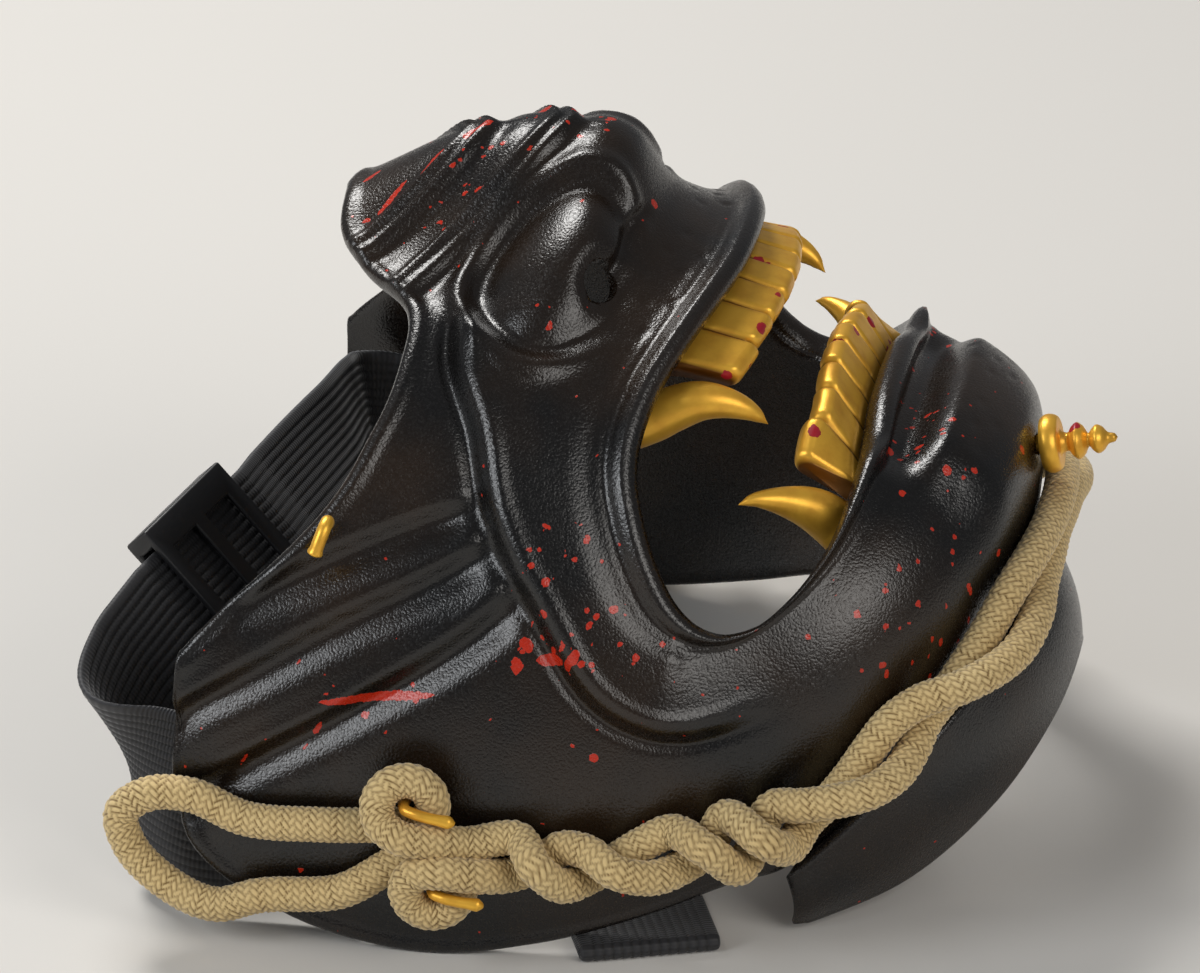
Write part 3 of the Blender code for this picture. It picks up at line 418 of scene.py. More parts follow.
def mesh_object(name, points, faces, material):
    mesh = bpy.data.meshes.new(name)
    mesh.from_pydata(np.asarray(points, float).reshape(-1, 3).tolist(), [], faces)
    mesh.validate()
    mesh.shade_smooth()
    mesh.materials.append(material)
    piece = bpy.data.objects.new(name, mesh)
    bpy.context.scene.collection.objects.link(piece)
    return piece


def paint_weight(piece, name, values):
    """A number for each point of the mesh, which the material reads."""
    attribute = piece.data.attributes.new(name, "FLOAT", "POINT")
    attribute.data.foreach_set("value", np.asarray(values, np.float32).ravel())


def apply_modifiers(piece):
    """The mesh as its modifiers make it, with none of them left."""
    bpy.context.view_layer.update()
    graph = bpy.context.evaluated_depsgraph_get()
    seen = piece.evaluated_get(graph)
    made = bpy.data.meshes.new_from_object(seen, preserve_all_data_layers=True, depsgraph=graph)
    piece.modifiers.clear()
    old = piece.data
    piece.data = made
    bpy.data.meshes.remove(old)


def settle(piece, slot, *nodes, place):
    """Lays a piece down where its solid is, hangs it on the body and hides the solids that it stands for."""
    piece.data.transform(place)
    # What rests on the ground is flat there
    places = np.empty(3 * len(piece.data.vertices), np.float32)
    piece.data.vertices.foreach_get("co", places)
    places[2::3] = np.maximum(places[2::3], 0)
    piece.data.vertices.foreach_set("co", places)
    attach(piece, BODY)
    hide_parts(*nodes)


def linear(code):
    """A hex sRGB colour as linear red, green, blue and alpha."""
    parts = [int(code[i : i + 2], 16) / 255 for i in (1, 3, 5)]
    return tuple(c / 12.92 if c <= 0.04045 else ((c + 0.055) / 1.055) ** 2.4 for c in parts) + (1.0,)


def add_node(material, kind, settings=None, **links):
    """Adds a shader node. settings are its own properties and links its sockets, by name or _number."""
    tree = material.node_tree
    node = tree.nodes.new("ShaderNode" + kind)
    for name, value in (settings or {}).items():
        setattr(node, name, value)
    for name, value in links.items():
        socket = node.inputs[int(name[1:])] if name[0] == "_" else node.inputs[name.replace("_", " ")]
        if isinstance(value, bpy.types.NodeSocket):
            tree.links.new(value, socket)
        else:
            socket.default_value = value
    return node


def principled(name, colour, **values):
    """A material whose shader has one colour and these values, by the names of its sockets."""
    material = bpy.data.materials.new(name)
    material.use_nodes = True
    material.diffuse_color = colour
    shader = material.node_tree.nodes["Principled BSDF"]
    for socket, value in {"Base_Color": colour, "IOR": DEFAULT_IOR, **values}.items():
        shader.inputs[socket.replace("_", " ")].default_value = value
    return material


def connect(material, **sockets):
    """Leads what the nodes make into the material's shader."""
    tree = material.node_tree
    for name, socket in sockets.items():
        tree.links.new(socket, tree.nodes["Principled BSDF"].inputs[name.replace("_", " ")])
    return material


def per_mm(size):
    """A texture's scale for a feature of that many millimetres, on coordinates in metres."""
    return 1000.0 / size


# Long smears of paint: both ends, as around and down on the form, and half their width in mm
STREAKS = [
    ((0.770, 1.58), (0.725, 2.30), 0.90),
    ((0.065, 0.69), (0.030, 0.77), 0.60),
    ((0.030, 0.88), (0.000, 1.03), 0.80),
    ((0.020, 0.33), (0.000, 0.41), 0.60),
    ((0.100, 0.50), (0.060, 0.60), 0.50),
    ((0.650, 2.66), (0.660, 2.76), 1.00),
    ((0.668, 2.82), (0.660, 3.00), 1.10),
]
STREAK_DEPTH = 5 * MM
# The outside of the mesh gives flecks an amount above this, and its inside none
FRONT_AMOUNT = 0.001
DEFAULT_IOR = 1.5
GILT_METAL = 0.6
COLOURS = {"data_type": "RGBA"}
TEXTURE_SPACE = {"vector_type": "TEXTURE"}
LENGTH = {"operation": "LENGTH"}
LESS = {"operation": "LESS_THAN"}
MORE = {"operation": "GREATER_THAN"}
TIMES = {"operation": "MULTIPLY"}
TIMES_PLUS = {"operation": "MULTIPLY_ADD"}
LARGER = {"operation": "MAXIMUM"}


def spots(material, here, size, share, reach):
    """A 0 to 1 mask of spots size mm apart. share is how many places have one, reach how wide they are."""
    cells = add_node(material, "TexVoronoi", Vector=here, Scale=per_mm(size)).outputs
    random = add_node(material, "SeparateColor", Color=cells["Color"]).outputs
    radius = add_node(material, "MapRange", Value=random["Red"], To_Min=reach[0], To_Max=reach[1])
    inside = add_node(material, "Math", LESS, _0=cells["Distance"], _1=radius.outputs["Result"]).outputs[0]
    there = add_node(material, "Math", LESS, _0=random["Green"], _1=share).outputs[0]
    return add_node(material, "Math", TIMES, _0=inside, _1=there).outputs[0]


def streak(material, here, start, end, width):
    """A 0 to 1 mask of one long drop that lies on the form between two places of it."""
    turn = lay_down()
    ends = [turn @ Vector(form(*at)) for at in (start, end)]
    run = ends[1] - ends[0]
    out = turn.to_3x3() @ Vector(outward(*np.mean([start, end], axis=0)))
    across = out.cross(run).normalized()
    axes = Matrix((run.normalized(), across, run.cross(across).normalized())).transposed()
    placed = add_node(
        material,
        "Mapping",
        TEXTURE_SPACE,
        Vector=here,
        Location=(ends[0] + ends[1]) / 2,
        Rotation=tuple(axes.to_euler()),
        Scale=(run.length / 2, width, STREAK_DEPTH),
    )
    off = add_node(material, "VectorMath", LENGTH, _0=placed.outputs[0]).outputs["Value"]
    return add_node(material, "Math", LESS, _0=off, _1=1.0).outputs[0]


def satin_enamel(settings):
    """Satin black enamel, sprayed on cast resin: deep black, its shine broken up by a fine dry grain."""
    material = principled("satin_enamel_on_resin", settings.enamel, Roughness=0.25, IOR=1.52)
    here = add_node(material, "TexCoord").outputs["Object"]
    # A thin painted warm bronze sheen lies over the black, in clouds about 30 mm across
    clouds = add_node(material, "TexNoise", Vector=here, Scale=per_mm(30), Detail=3.0).outputs["Fac"]
    share = add_node(material, "MapRange", Value=clouds, From_Min=0.40, From_Max=0.64).outputs["Result"]
    coat = add_node(material, "Mix", COLOURS, _0=share, _6=settings.enamel, _7=settings.painted_sheen).outputs[2]
    # Flicked paint has ragged edges: fine specks and drops, and long ones drawn up the face by the brush
    ragged = add_node(material, "TexNoise", Vector=here, Scale=per_mm(0.9), Detail=2.0).outputs["Color"]
    moved = add_node(material, "VectorMath", TIMES_PLUS, _0=ragged, _1=(0.8 * MM,) * 3, _2=here).outputs[0]
    drawn = add_node(
        material, "Mapping", TEXTURE_SPACE, Vector=moved, Rotation=(0.2, 0.5, 0.0), Scale=(1.0, 1.0, 3.2)
    ).outputs[0]
    amount = add_node(material, "Attribute", {"attribute_name": "flecks"}).outputs["Fac"]
    flecks = spots(material, moved, 1.3, 0.02, (0.10, 0.25))
    layers = [(moved, 2.3, (0.08, 0.36)), (drawn, 1.5, (0.12, 0.42)), (drawn, 3.4, (0.06, 0.30))]
    more = [spots(material, place, size, amount, reach) for place, size, reach in layers]
    more += [streak(material, moved, start, end, width * MM) for start, end, width in STREAKS]
    for layer in more:
        flecks = add_node(material, "Math", LARGER, _0=flecks, _1=layer).outputs[0]
    front = add_node(material, "Math", MORE, _0=amount, _1=FRONT_AMOUNT).outputs[0]
    flecks = add_node(material, "Math", TIMES, _0=flecks, _1=front).outputs[0]
    coat = add_node(material, "Mix", COLOURS, _0=flecks, _6=coat, _7=settings.fleck).outputs[2]
    # The rims are painted a slightly lighter grey: a painted highlight along the edges
    rim = add_node(material, "Attribute", {"attribute_name": "rim"}).outputs["Fac"]
    coat = add_node(material, "Mix", COLOURS, _0=rim, _6=coat, _7=settings.painted_rim_highlight).outputs[2]
    # Orange peel of 1.1 mm, and a dry-spray grain of some 0.1 mm that is drawn at 0.42 mm so that it shows
    peel = add_node(material, "TexNoise", Vector=here, Scale=per_mm(1.1), Detail=2.0).outputs["Fac"]
    grain = add_node(material, "TexNoise", Vector=here, Scale=per_mm(0.42), Detail=1.5).outputs["Fac"]
    rough = add_node(
        material, "MapRange", Value=grain, From_Min=0.3, From_Max=0.7, To_Min=0.17, To_Max=0.34
    ).outputs["Result"]
    shape = add_node(material, "Bump", Height=grain, Strength=0.9, Distance=0.10 * MM).outputs[0]
    for height, strength, depth in ((peel, 0.22, 0.10 * MM), (flecks, 0.4, 0.06 * MM)):
        shape = add_node(
            material, "Bump", Height=height, Strength=strength, Distance=depth, Normal=shape
        ).outputs[0]
    return connect(material, Base_Color=coat, Roughness=rough, Normal=shape)


def gilt(settings):
    """Gold bronze-powder paint over resin: warm metal with a soft grain, darker where it is thin."""
    material = principled("bronze_powder_gilding", settings.gold, Roughness=0.38, Metallic=GILT_METAL)
    here = add_node(material, "TexCoord").outputs["Object"]
    clouds = add_node(material, "TexNoise", Vector=here, Scale=per_mm(3.5), Detail=3.0).outputs["Fac"]
    share = add_node(material, "MapRange", Value=clouds, From_Min=0.42, From_Max=0.80).outputs["Result"]
    coat = add_node(material, "Mix", COLOURS, _0=share, _6=settings.gold, _7=settings.gold_shade).outputs[2]
    # Painted shade darkens the grooves between the teeth, the roots of the fangs and pins and the thin parts
    # of the peg
    crevice_shade = add_node(material, "Attribute", {"attribute_name": "crevice_shade"}).outputs["Fac"]
    coat = add_node(material, "Mix", COLOURS, _0=crevice_shade, _6=coat, _7=settings.gold_crevice_shade).outputs[2]
    amount = add_node(material, "Attribute", {"attribute_name": "flecks"}).outputs["Fac"]
    ragged = add_node(material, "TexNoise", Vector=here, Scale=per_mm(0.8), Detail=2.0).outputs["Color"]
    moved = add_node(material, "VectorMath", TIMES_PLUS, _0=ragged, _1=(0.7 * MM,) * 3, _2=here).outputs[0]
    flecks = spots(material, moved, 3.4, amount, (0.15, 0.40))
    coat = add_node(material, "Mix", COLOURS, _0=flecks, _6=coat, _7=settings.fleck).outputs[2]
    # Flecks of paint are no metal, so they take it away
    bare = add_node(material, "Math", TIMES_PLUS, _0=flecks, _1=-GILT_METAL, _2=GILT_METAL).outputs[0]
    # Bronze powder is some 0.05 mm across; its clumps are drawn at 0.3 mm so that they show
    powder = add_node(material, "TexNoise", Vector=here, Scale=per_mm(0.3), Detail=2.0).outputs["Fac"]
    rough = add_node(material, "MapRange", Value=powder, To_Min=0.30, To_Max=0.48).outputs["Result"]
    shape = add_node(material, "Bump", Height=powder, Strength=0.35, Distance=0.05 * MM).outputs[0]
    return connect(material, Base_Color=coat, Roughness=rough, Metallic=bare, Normal=shape)


def braided_polyester(settings):
    """Braided polyester cord: matt tan yarn, paler on the crowns of the stitches than in the brown painted
    shade between them.
    """
    material = principled(
        "braided_polyester", settings.yarn, Roughness=0.82, IOR=1.45, Sheen_Weight=0.25, Sheen_Roughness=0.5
    )
    here = add_node(material, "TexCoord").outputs["Object"]
    patches = add_node(material, "TexNoise", Vector=here, Scale=per_mm(9), Detail=2.0).outputs["Fac"]
    yarn = add_node(material, "Mix", COLOURS, _0=patches, _6=settings.yarn, _7=settings.yarn_pale).outputs[2]
    # Painted shade darkens the yarn down into the creases between the stitches
    crown = add_node(material, "Attribute", {"attribute_name": "crown"}).outputs["Fac"]
    depth = add_node(material, "MapRange", Value=crown, From_Min=0.15, From_Max=0.75).outputs["Result"]
    yarn = add_node(material, "Mix", COLOURS, _0=depth, _6=settings.yarn_crease_shade, _7=yarn).outputs[2]
    # Yarn filaments are 0.02 mm thick; their bundles are drawn at 0.25 mm
    fibre = add_node(material, "TexNoise", Vector=here, Scale=per_mm(0.25), Detail=3.0).outputs["Fac"]
    shape = add_node(material, "Bump", Height=fibre, Strength=0.6, Distance=0.08 * MM).outputs[0]
    return connect(material, Base_Color=yarn, Normal=shape)


def woven_nylon(settings):
    """Black nylon webbing: long ribs of warp, bound by weft picks 1.1 mm apart, with a dull sheen."""
    material = principled(
        "woven_nylon_webbing",
        settings.webbing,
        Roughness=0.62,
        IOR=1.53,
        Sheen_Weight=0.25,
        Sheen_Roughness=0.4,
    )
    here = add_node(material, "TexCoord").outputs["Object"]
    patches = add_node(material, "TexNoise", Vector=here, Scale=per_mm(14), Detail=3.0).outputs["Fac"]
    cloth = add_node(
        material, "Mix", COLOURS, _0=patches, _6=settings.webbing, _7=settings.webbing_pale
    ).outputs[2]
    # Painted shade darkens the webbing between the ribs
    rib = add_node(material, "Attribute", {"attribute_name": "rib"}).outputs["Fac"]
    cloth = add_node(material, "Mix", COLOURS, _0=rib, _6=settings.webbing_rib_shade, _7=cloth).outputs[2]
    weave = add_node(material, "UVMap", {"uv_map": "weave"}).outputs["UV"]
    picks = add_node(
        material,
        "TexWave",
        {"bands_direction": "Y"},
        Vector=weave,
        Scale=0.5,
        Distortion=0.6,
        Detail_Scale=3.0,
    ).outputs["Fac"]
    # Nylon filaments are 0.03 mm thick; their bundles are drawn at 0.35 mm
    fibre = add_node(material, "TexNoise", Vector=here, Scale=per_mm(0.35), Detail=2.0).outputs["Fac"]
    shape = add_node(material, "Bump", Height=picks, Strength=0.5, Distance=0.12 * MM).outputs[0]
    shape = add_node(
        material, "Bump", Height=fibre, Strength=0.4, Distance=0.06 * MM, Normal=shape
    ).outputs[0]
    return connect(material, Base_Color=cloth, Normal=shape)


def moulded_acetal(settings):
    """Black acetal, moulded in an eroded tool: a soft grey shine with a 0.4 mm grain."""
    material = principled("moulded_acetal", settings.acetal, Roughness=0.42, IOR=1.48)
    here = add_node(material, "TexCoord").outputs["Object"]
    grain = add_node(material, "TexNoise", Vector=here, Scale=per_mm(0.4), Detail=2.0).outputs["Fac"]
    rough = add_node(material, "MapRange", Value=grain, To_Min=0.34, To_Max=0.5).outputs["Result"]
    shape = add_node(material, "Bump", Height=grain, Strength=0.3, Distance=0.05 * MM).outputs[0]
    return connect(material, Roughness=rough, Normal=shape)


def matt_paper(settings):
    """A pale roll of matt background paper: even, with a slight tooth."""
    material = principled("matt_background_paper", settings.paper, Roughness=0.9)
    here = add_node(material, "TexCoord").outputs["Object"]
    tooth = add_node(material, "TexNoise", Vector=here, Scale=per_mm(1.2), Detail=2.0).outputs["Fac"]
    shape = add_node(material, "Bump", Height=tooth, Strength=0.15, Distance=0.1 * MM).outputs[0]
    return connect(material, Normal=shape)


# Where the paint was flicked: side (1 right, -1 left), around and down on the form, radius in mm and amount
FLECKS = [
    (1, 0.02, 1.10, 6, 0.45),
    (1, 0.08, 0.90, 6, 0.40),
    (1, 0.14, 0.50, 5, 0.30),
    (1, 0.00, 1.65, 5, 0.40),
    (1, 0.08, 3.98, 6, 0.75),
    (1, 0.17, 4.00, 5, 0.65),
    (1, 0.04, 4.25, 7, 0.50),
    (1, 0.20, 4.70, 9, 0.30),
    (1, 0.36, 5.90, 9, 0.26),
    (1, 0.52, 5.90, 8, 0.28),
    (1, 0.66, 2.85, 7, 0.75),
    (1, 0.58, 2.62, 7, 0.45),
    (1, 0.62, 3.20, 8, 0.26),
    (1, 0.77, 1.62, 2, 0.95),
    (1, 0.755, 1.85, 2, 0.95),
    (1, 0.735, 2.15, 2, 0.90),
    (1, 0.765, 1.80, 6, 0.30),
    (1, 0.44, 4.60, 9, 0.15),
    (-1, 0.30, 4.40, 9, 0.30),
    (-1, 0.62, 2.60, 9, 0.35),
    (-1, 0.20, 1.60, 6, 0.20),
]
# Pits in the upper lip and the chin, like the roots of a moustache and beard: around and down
PITS = [
    (0.12, 2.42), (0.17, 2.36), (0.22, 2.44), (0.15, 2.58),
    (0.21, 2.60), (0.27, 2.50), (0.06, 2.50), (0.10, 2.66),
    (0.09, 4.82), (0.15, 4.78), (0.06, 5.02), (0.13, 5.05),
    (0.20, 4.98), (0.18, 5.24), (0.26, 5.18), (0.10, 5.30),
]
PIT_RADIUS = 0.9 * MM
PIT_DEPTH = 0.7 * MM
NOSTRIL_ROUNDING = 1.5 * MM
# How much flicked paint there is where none was aimed
SHELL_FLECKS = 0.004
PLATE_FLECKS = 0.003
TEETH_FLECKS = 0.16
FANG_FLECKS = 0.05
PEG_FLECKS = 0.12
HOOK_FLECKS = 0.04


def fleck_amount(points, marks, least):
    """How thickly flicked paint lies at worn points, from marks of centre, radius and amount."""
    total = np.full(len(points), least)
    for centre, radius, amount in marks:
        total = np.maximum(total, amount * bump(np.linalg.norm(points - centre, axis=1), 0, radius))
    return total


def fleck_evenly(piece, amount):
    paint_weight(piece, "flecks", np.full(len(piece.data.vertices), amount))


def mirrored(point, side):
    return np.asarray(point) * np.array([side, 1, 1])


def square_to(direction):
    """The rotation that turns +Z to a direction."""
    return Vector(direction).to_track_quat("Z", "Y").to_matrix().to_4x4()


def block_object(name, fill, **measures):
    """An object with one solid, from a function of bmesh.ops and its measures."""
    build = bmesh.new()
    fill(build, **measures)
    mesh = bpy.data.meshes.new(name)
    build.to_mesh(mesh)
    build.free()
    made = bpy.data.objects.new(name, mesh)
    bpy.context.scene.collection.objects.link(made)
    return made


def hole_cutter(centre, direction, radius, depth):
    ends = {"radius1": radius, "radius2": radius, "depth": depth}
    cutter = block_object("cutter", bmesh.ops.create_cone, cap_ends=True, segments=48, **ends)
    cutter.matrix_world = Matrix.Translation(centre) @ square_to(direction)
    return cutter


def cut_out(piece, cutters):
    for cutter in cutters:
        boolean = piece.modifiers.new("cut", "BOOLEAN")
        boolean.operation = "DIFFERENCE"
        boolean.solver = "EXACT"
        boolean.object = cutter
    apply_modifiers(piece)
    for cutter in cutters:
        mesh = cutter.data
        bpy.data.objects.remove(cutter)
        bpy.data.meshes.remove(mesh)


def nostril(side):
    """The point of the form at a nostril, as in the solids, and the way its hole runs."""
    x, z = NOSTRIL_AT[0] * NOSE_HALF_WIDTH, NOSTRIL_AT[1] * FACE_HEIGHT
    a, d = np.meshgrid(np.linspace(0.05, 0.35, 61), np.linspace(1.4, 2.6, 61))
    points = form(a.ravel(), d.ravel())
    nearest = points[np.argmin(np.hypot(points[:, 0] - x, points[:, 2] - z))]
    return mirrored(nearest, side), mirrored(NOSTRIL_AIM, side)


def closed_smooth(points, count):
    """count points along a smooth closed curve through the given ones."""
    points = np.asarray(points, float)
    loop = np.concatenate([points[-3:], points, points[:4]])
    lengths = np.linalg.norm(np.diff(loop, axis=0), axis=1)
    stations = np.concatenate([[0], np.cumsum(lengths)])
    t = np.linspace(stations[3], stations[3 + len(points)], count, endpoint=False)
    return np.stack([smooth(stations, loop[:, axis], t) for axis in range(3)], -1)


def through(points, count):
    """count points along a smooth curve through the given ones."""
    points = np.asarray(points, float)
    lengths = np.linalg.norm(np.diff(points, axis=0), axis=1)
    stations = np.concatenate([[0], np.cumsum(lengths)]) / lengths.sum()
    t = np.linspace(0, 1, count)
    return np.stack([smooth(stations, points[:, axis], t) for axis in range(3)], -1)


def carried_frames(points, closed=False):
    """For each point of a line: two units square to its run, carried along without twisting."""
    if closed:
        run = np.roll(points, -1, axis=0) - np.roll(points, 1, axis=0)
    else:
        run = np.gradient(points, axis=0)
    run = unit(run)
    first = [unit(np.cross(run[0], [0.31, 0.22, 0.93]))]
    for ahead in run[1:]:
        first.append(unit(first[-1] - ahead * (ahead @ first[-1])))
    first = np.array(first)
    second = np.cross(run, first)
    if closed:
        back = first[-1] - run[0] * (run[0] @ first[-1])
        twist = math.atan2(back @ second[0], back @ first[0])
        angle = -twist * np.linspace(0, 1, len(points))[:, None]
        c, s = np.cos(angle), np.sin(angle)
        first, second = first * c + second * s, second * c - first * s
    return first, second


def tube_rings(points, radii, sides, first, second):
    """Rings of points round a line. radii is one radius a point, or one for each side too."""
    angle = np.linspace(0, 2 * math.pi, sides, endpoint=False)
    radii = np.broadcast_to(np.asarray(radii).reshape(len(points), -1), (len(points), sides))
    spread = first[:, None] * np.cos(angle)[None, :, None] + second[:, None] * np.sin(angle)[None, :, None]
    return points[:, None] + spread * radii[..., None]


def capped(name, rings, material):
    """A mesh with one skin over rings of points, and a cap on the first and the last ring."""
    count, around = rings.shape[:2]
    faces = lattice_faces(count, around, wrap=False)
    faces.append(list(reversed(range(around))))
    faces.append([(count - 1) * around + k for k in range(around)])
    piece = mesh_object(name, rings, faces, material)
    build = bmesh.new()
    build.from_mesh(piece.data)
    bmesh.ops.recalc_face_normals(build, faces=build.faces)
    build.to_mesh(piece.data)
    build.free()
    return piece


TEETH_END = 0.285
TEETH_PER_SIDE = 4
TOOTH_SHAPE = [1.0, 0.97, 1.0, 1.10]
TOOTH_STATIONS = 19
TOOTH_ROUNDING = 0.9 * MM
TOOTH_CORNER = 1.2 * MM


def rounded(corners, radius, count=6):
    """A closed outline with its corners rounded off, each by count points."""
    points = []
    for i, corner in enumerate(corners):
        ends = []
        for side in (corners[i - 1] - corner, corners[(i + 1) % len(corners)] - corner):
            ends.append(corner + side * min(radius / np.linalg.norm(side), 0.45))
        for t in np.linspace(0, 1, count):
            points.append((1 - t) ** 2 * ends[0] + 2 * t * (1 - t) * corner + t * t * ends[1])
    return np.array(points)


def mouth_edge(around, upper):
    turns = np.linspace(0, 0.5, 200) if upper else np.linspace(1, 0.5, 200)
    edge_around, edge_down = spoke(turns, np.zeros(200))
    return np.interp(np.abs(around), edge_around, edge_down)


def tooth_section(around, upper, length, groove):
    """One cross-section of a tooth row, as in the solids: behind the lip, from root to biting edge."""
    edge = mouth_edge(around, upper)
    into = 1 if upper else -1
    here, normal = form(around, edge), outward(around, edge)
    down_run = form(around, edge + 0.05) - form(around, edge - 0.05)
    down_unit = unit(down_run)
    per_down = np.linalg.norm(down_run) / 0.1
    root = edge - into * TOOTH_ROOT / per_down
    neck = (edge + root) / 2
    seat = WALL + SEAT_GAP
    bite = here + into * down_unit * length
    return np.array([
        off_form(around, root, -seat - TOOTH_ROOT_LEAN),
        off_form(around, neck, -seat - TOOTH_ROOT_LEAN / 2),
        here - normal * (seat + groove * 0.3),
        bite - into * down_unit * 0.15 * length - normal * (seat - 0.22 * TOOTH_THICKNESS + groove),
        bite - normal * (seat + 0.15 * TOOTH_THICKNESS + groove),
        bite - into * down_unit * 0.05 * length - normal * (seat + 0.75 * TOOTH_THICKNESS),
        here - normal * (seat + TOOTH_THICKNESS),
        off_form(around, root, -seat - TOOTH_THICKNESS - TOOTH_ROOT_LEAN),
    ])


def tooth_row(name, upper, material):
    """A row of flat-faced teeth with rounded corners and narrow grooves between them."""
    across = (1 - np.cos(np.linspace(0, math.pi, TOOTH_STATIONS))) / 2
    rings, crevice_shade = [], []
    for i in range(-TEETH_PER_SIDE, TEETH_PER_SIDE):
        length = TOOTH_LENGTH * TOOTH_SHAPE[i if i >= 0 else -i - 1]
        for share in across if i == TEETH_PER_SIDE - 1 else across[:-1]:
            off = abs(2 * share - 1)
            groove = 1.3 * TOOTH_GROOVE * step(0.76, 1, off)
            around = TEETH_END * (i + share) / TEETH_PER_SIDE
            section = tooth_section(around, upper, length - TOOTH_CORNER * off**8, groove)
            rings.append(rounded(section, TOOTH_ROUNDING))
            # Painted shade darkens the grooves between the teeth
            crevice_shade.append(np.full(len(rings[-1]), step(0.86, 1, off)))
    piece = capped(name, np.array(rings), material)
    paint_weight(piece, "crevice_shade", np.array(crevice_shade))
    return piece


# The fangs, as in the solids: around and down on the form, and depth behind it and thickness as shares of
# the radius
UPPER_FANG = table("around down depth thickness", [
    (0.392, 2.42, 0.85, 1.00),
    (0.392, 2.42, 1.60, 1.00),
    (0.380, 2.58, 2.25, 1.00),
    (0.360, 2.74, 2.20, 1.00),
    (0.340, 2.90, 1.70, 0.97),
    (0.324, 3.08, 1.10, 0.86),
    (0.311, 3.26, 0.75, 0.68),
    (0.301, 3.42, 0.60, 0.44),
    (0.294, 3.56, 0.70, 0.08),
])
LOWER_FANG = table("around down depth thickness", [
    (0.348, 4.68, 1.02, 1.00),
    (0.348, 4.68, 1.80, 1.00),
    (0.347, 4.49, 2.25, 1.00),
    (0.336, 4.28, 2.00, 1.00),
    (0.344, 4.11, 1.50, 0.92),
    (0.360, 3.95, 1.20, 0.76),
    (0.379, 3.81, 1.05, 0.56),
    (0.397, 3.70, 1.05, 0.34),
    (0.414, 3.63, 1.15, 0.08),
])


FANGS = {"upper": (UPPER_FANG, FANG_RADIUS), "lower": (LOWER_FANG, LOWER_FANG_RADIUS)}
FANG_RINGS = 90
FANG_SIDES = 40
FANG_TIP_RINGS = 6


def fang(name, columns, radius, side, material):
    """A curved fang, smooth to its tip, with painted shade at its root."""
    depth = -columns["depth"] * radius - SEAT_GAP
    rows = zip(columns["around"], columns["down"], depth)
    points = through([off_form(side * around, down, height) for around, down, height in rows], FANG_RINGS)
    t = np.linspace(0, 1, FANG_RINGS)
    thickness = read(columns, t)[3] * radius
    thickness[-FANG_TIP_RINGS:] *= np.sqrt(np.linspace(1, 0.02, FANG_TIP_RINGS))
    rings = tube_rings(points, thickness, FANG_SIDES, *carried_frames(points))
    piece = capped(name, rings, material)
    # Painted shade darkens the root, where the fang lies behind the lip
    paint_weight(piece, "crevice_shade", np.repeat(step(0.45, 0.2, t) * 0.35, FANG_SIDES))
    return piece


PEG_AT = 6.02
PEG_PROFILE = table("radius height", [
    (0.00, 1.00), (0.13, 0.97), (0.20, 0.88), (0.44, 0.79),
    (0.50, 0.73), (0.40, 0.67), (0.24, 0.62), (0.52, 0.54),
    (0.64, 0.47), (0.52, 0.40), (0.32, 0.34), (0.40, 0.26),
    (0.92, 0.22), (1.00, 0.16), (1.00, 0.06), (0.90, 0.00),
])

JAW_HOOKS = {"upper": (0.830, 2.45), "lower": (0.905, 2.87)}
CHEEK_HOOK = (0.590, 1.05)
STRAND_OFF = CORD_DIAMETER / 2 + 1.4 * SEAT_GAP
STRAND_PITCH = CORD_DIAMETER + 1.4 * SEAT_GAP
LOOP_RADIUS = 0.75 * CORD_DIAMETER
CORD_RINGS = 3900
PEG_RINGS = 120
PEG_SIDES = 64
PEG_POINT_RADIUS = 0.02 * MM
WIRE_RINGS = 60
WIRE_SIDES = 24
WIRE_TIP_RINGS = 4


def wire(name, points, radius, material):
    """A bent pin with a rounded, slightly spread tip."""
    line = through(points, WIRE_RINGS)
    t = np.linspace(0, 1, WIRE_RINGS)
    radii = radius * (1 + 0.18 * bump(t, 0.93, 0.06))
    radii[-WIRE_TIP_RINGS:] *= np.sqrt(np.linspace(0.95, 0.1, WIRE_TIP_RINGS))
    piece = capped(name, tube_rings(line, radii, WIRE_SIDES, *carried_frames(line)), material)
    # Painted shade darkens the root, where the pin goes into the shell
    paint_weight(piece, "crevice_shade", np.repeat(step(0.3, 0.0, t) * 0.6, WIRE_SIDES))
    return piece


def jaw_hook_line(at, side, carved):
    here, normal, run, _ = surface_frame(at[0] * side, at[1])
    top = STRAND_OFF + 0.25 * STRAND_PITCH + CORD_DIAMETER / 2 + SEAT_GAP + HOOK_WIRE_RADIUS
    return [
        here + normal * (carved - SEAT_GAP),
        here + normal * (top - 1.6 * HOOK_WIRE_RADIUS),
        here + normal * (top - 0.5 * HOOK_WIRE_RADIUS) + run * 0.5 * HOOK_WIRE_RADIUS,
        here + normal * top + run * 1.6 * HOOK_WIRE_RADIUS,
        here + normal * top + run * JAW_HOOK_REACH,
    ]


def cheek_hook_line(side):
    here, normal, _, across = surface_frame(CHEEK_HOOK[0] * side, CHEEK_HOOK[1])
    back = across * -side
    return [
        here - normal * SEAT_GAP,
        here + normal * 2.2 * HOOK_WIRE_RADIUS,
        here + normal * 3.0 * HOOK_WIRE_RADIUS + back * 0.8 * HOOK_WIRE_RADIUS,
        here + normal * 3.2 * HOOK_WIRE_RADIUS + back * 0.6 * CHEEK_HOOK_REACH,
        here + normal * 2.4 * HOOK_WIRE_RADIUS + back * CHEEK_HOOK_REACH,
    ]


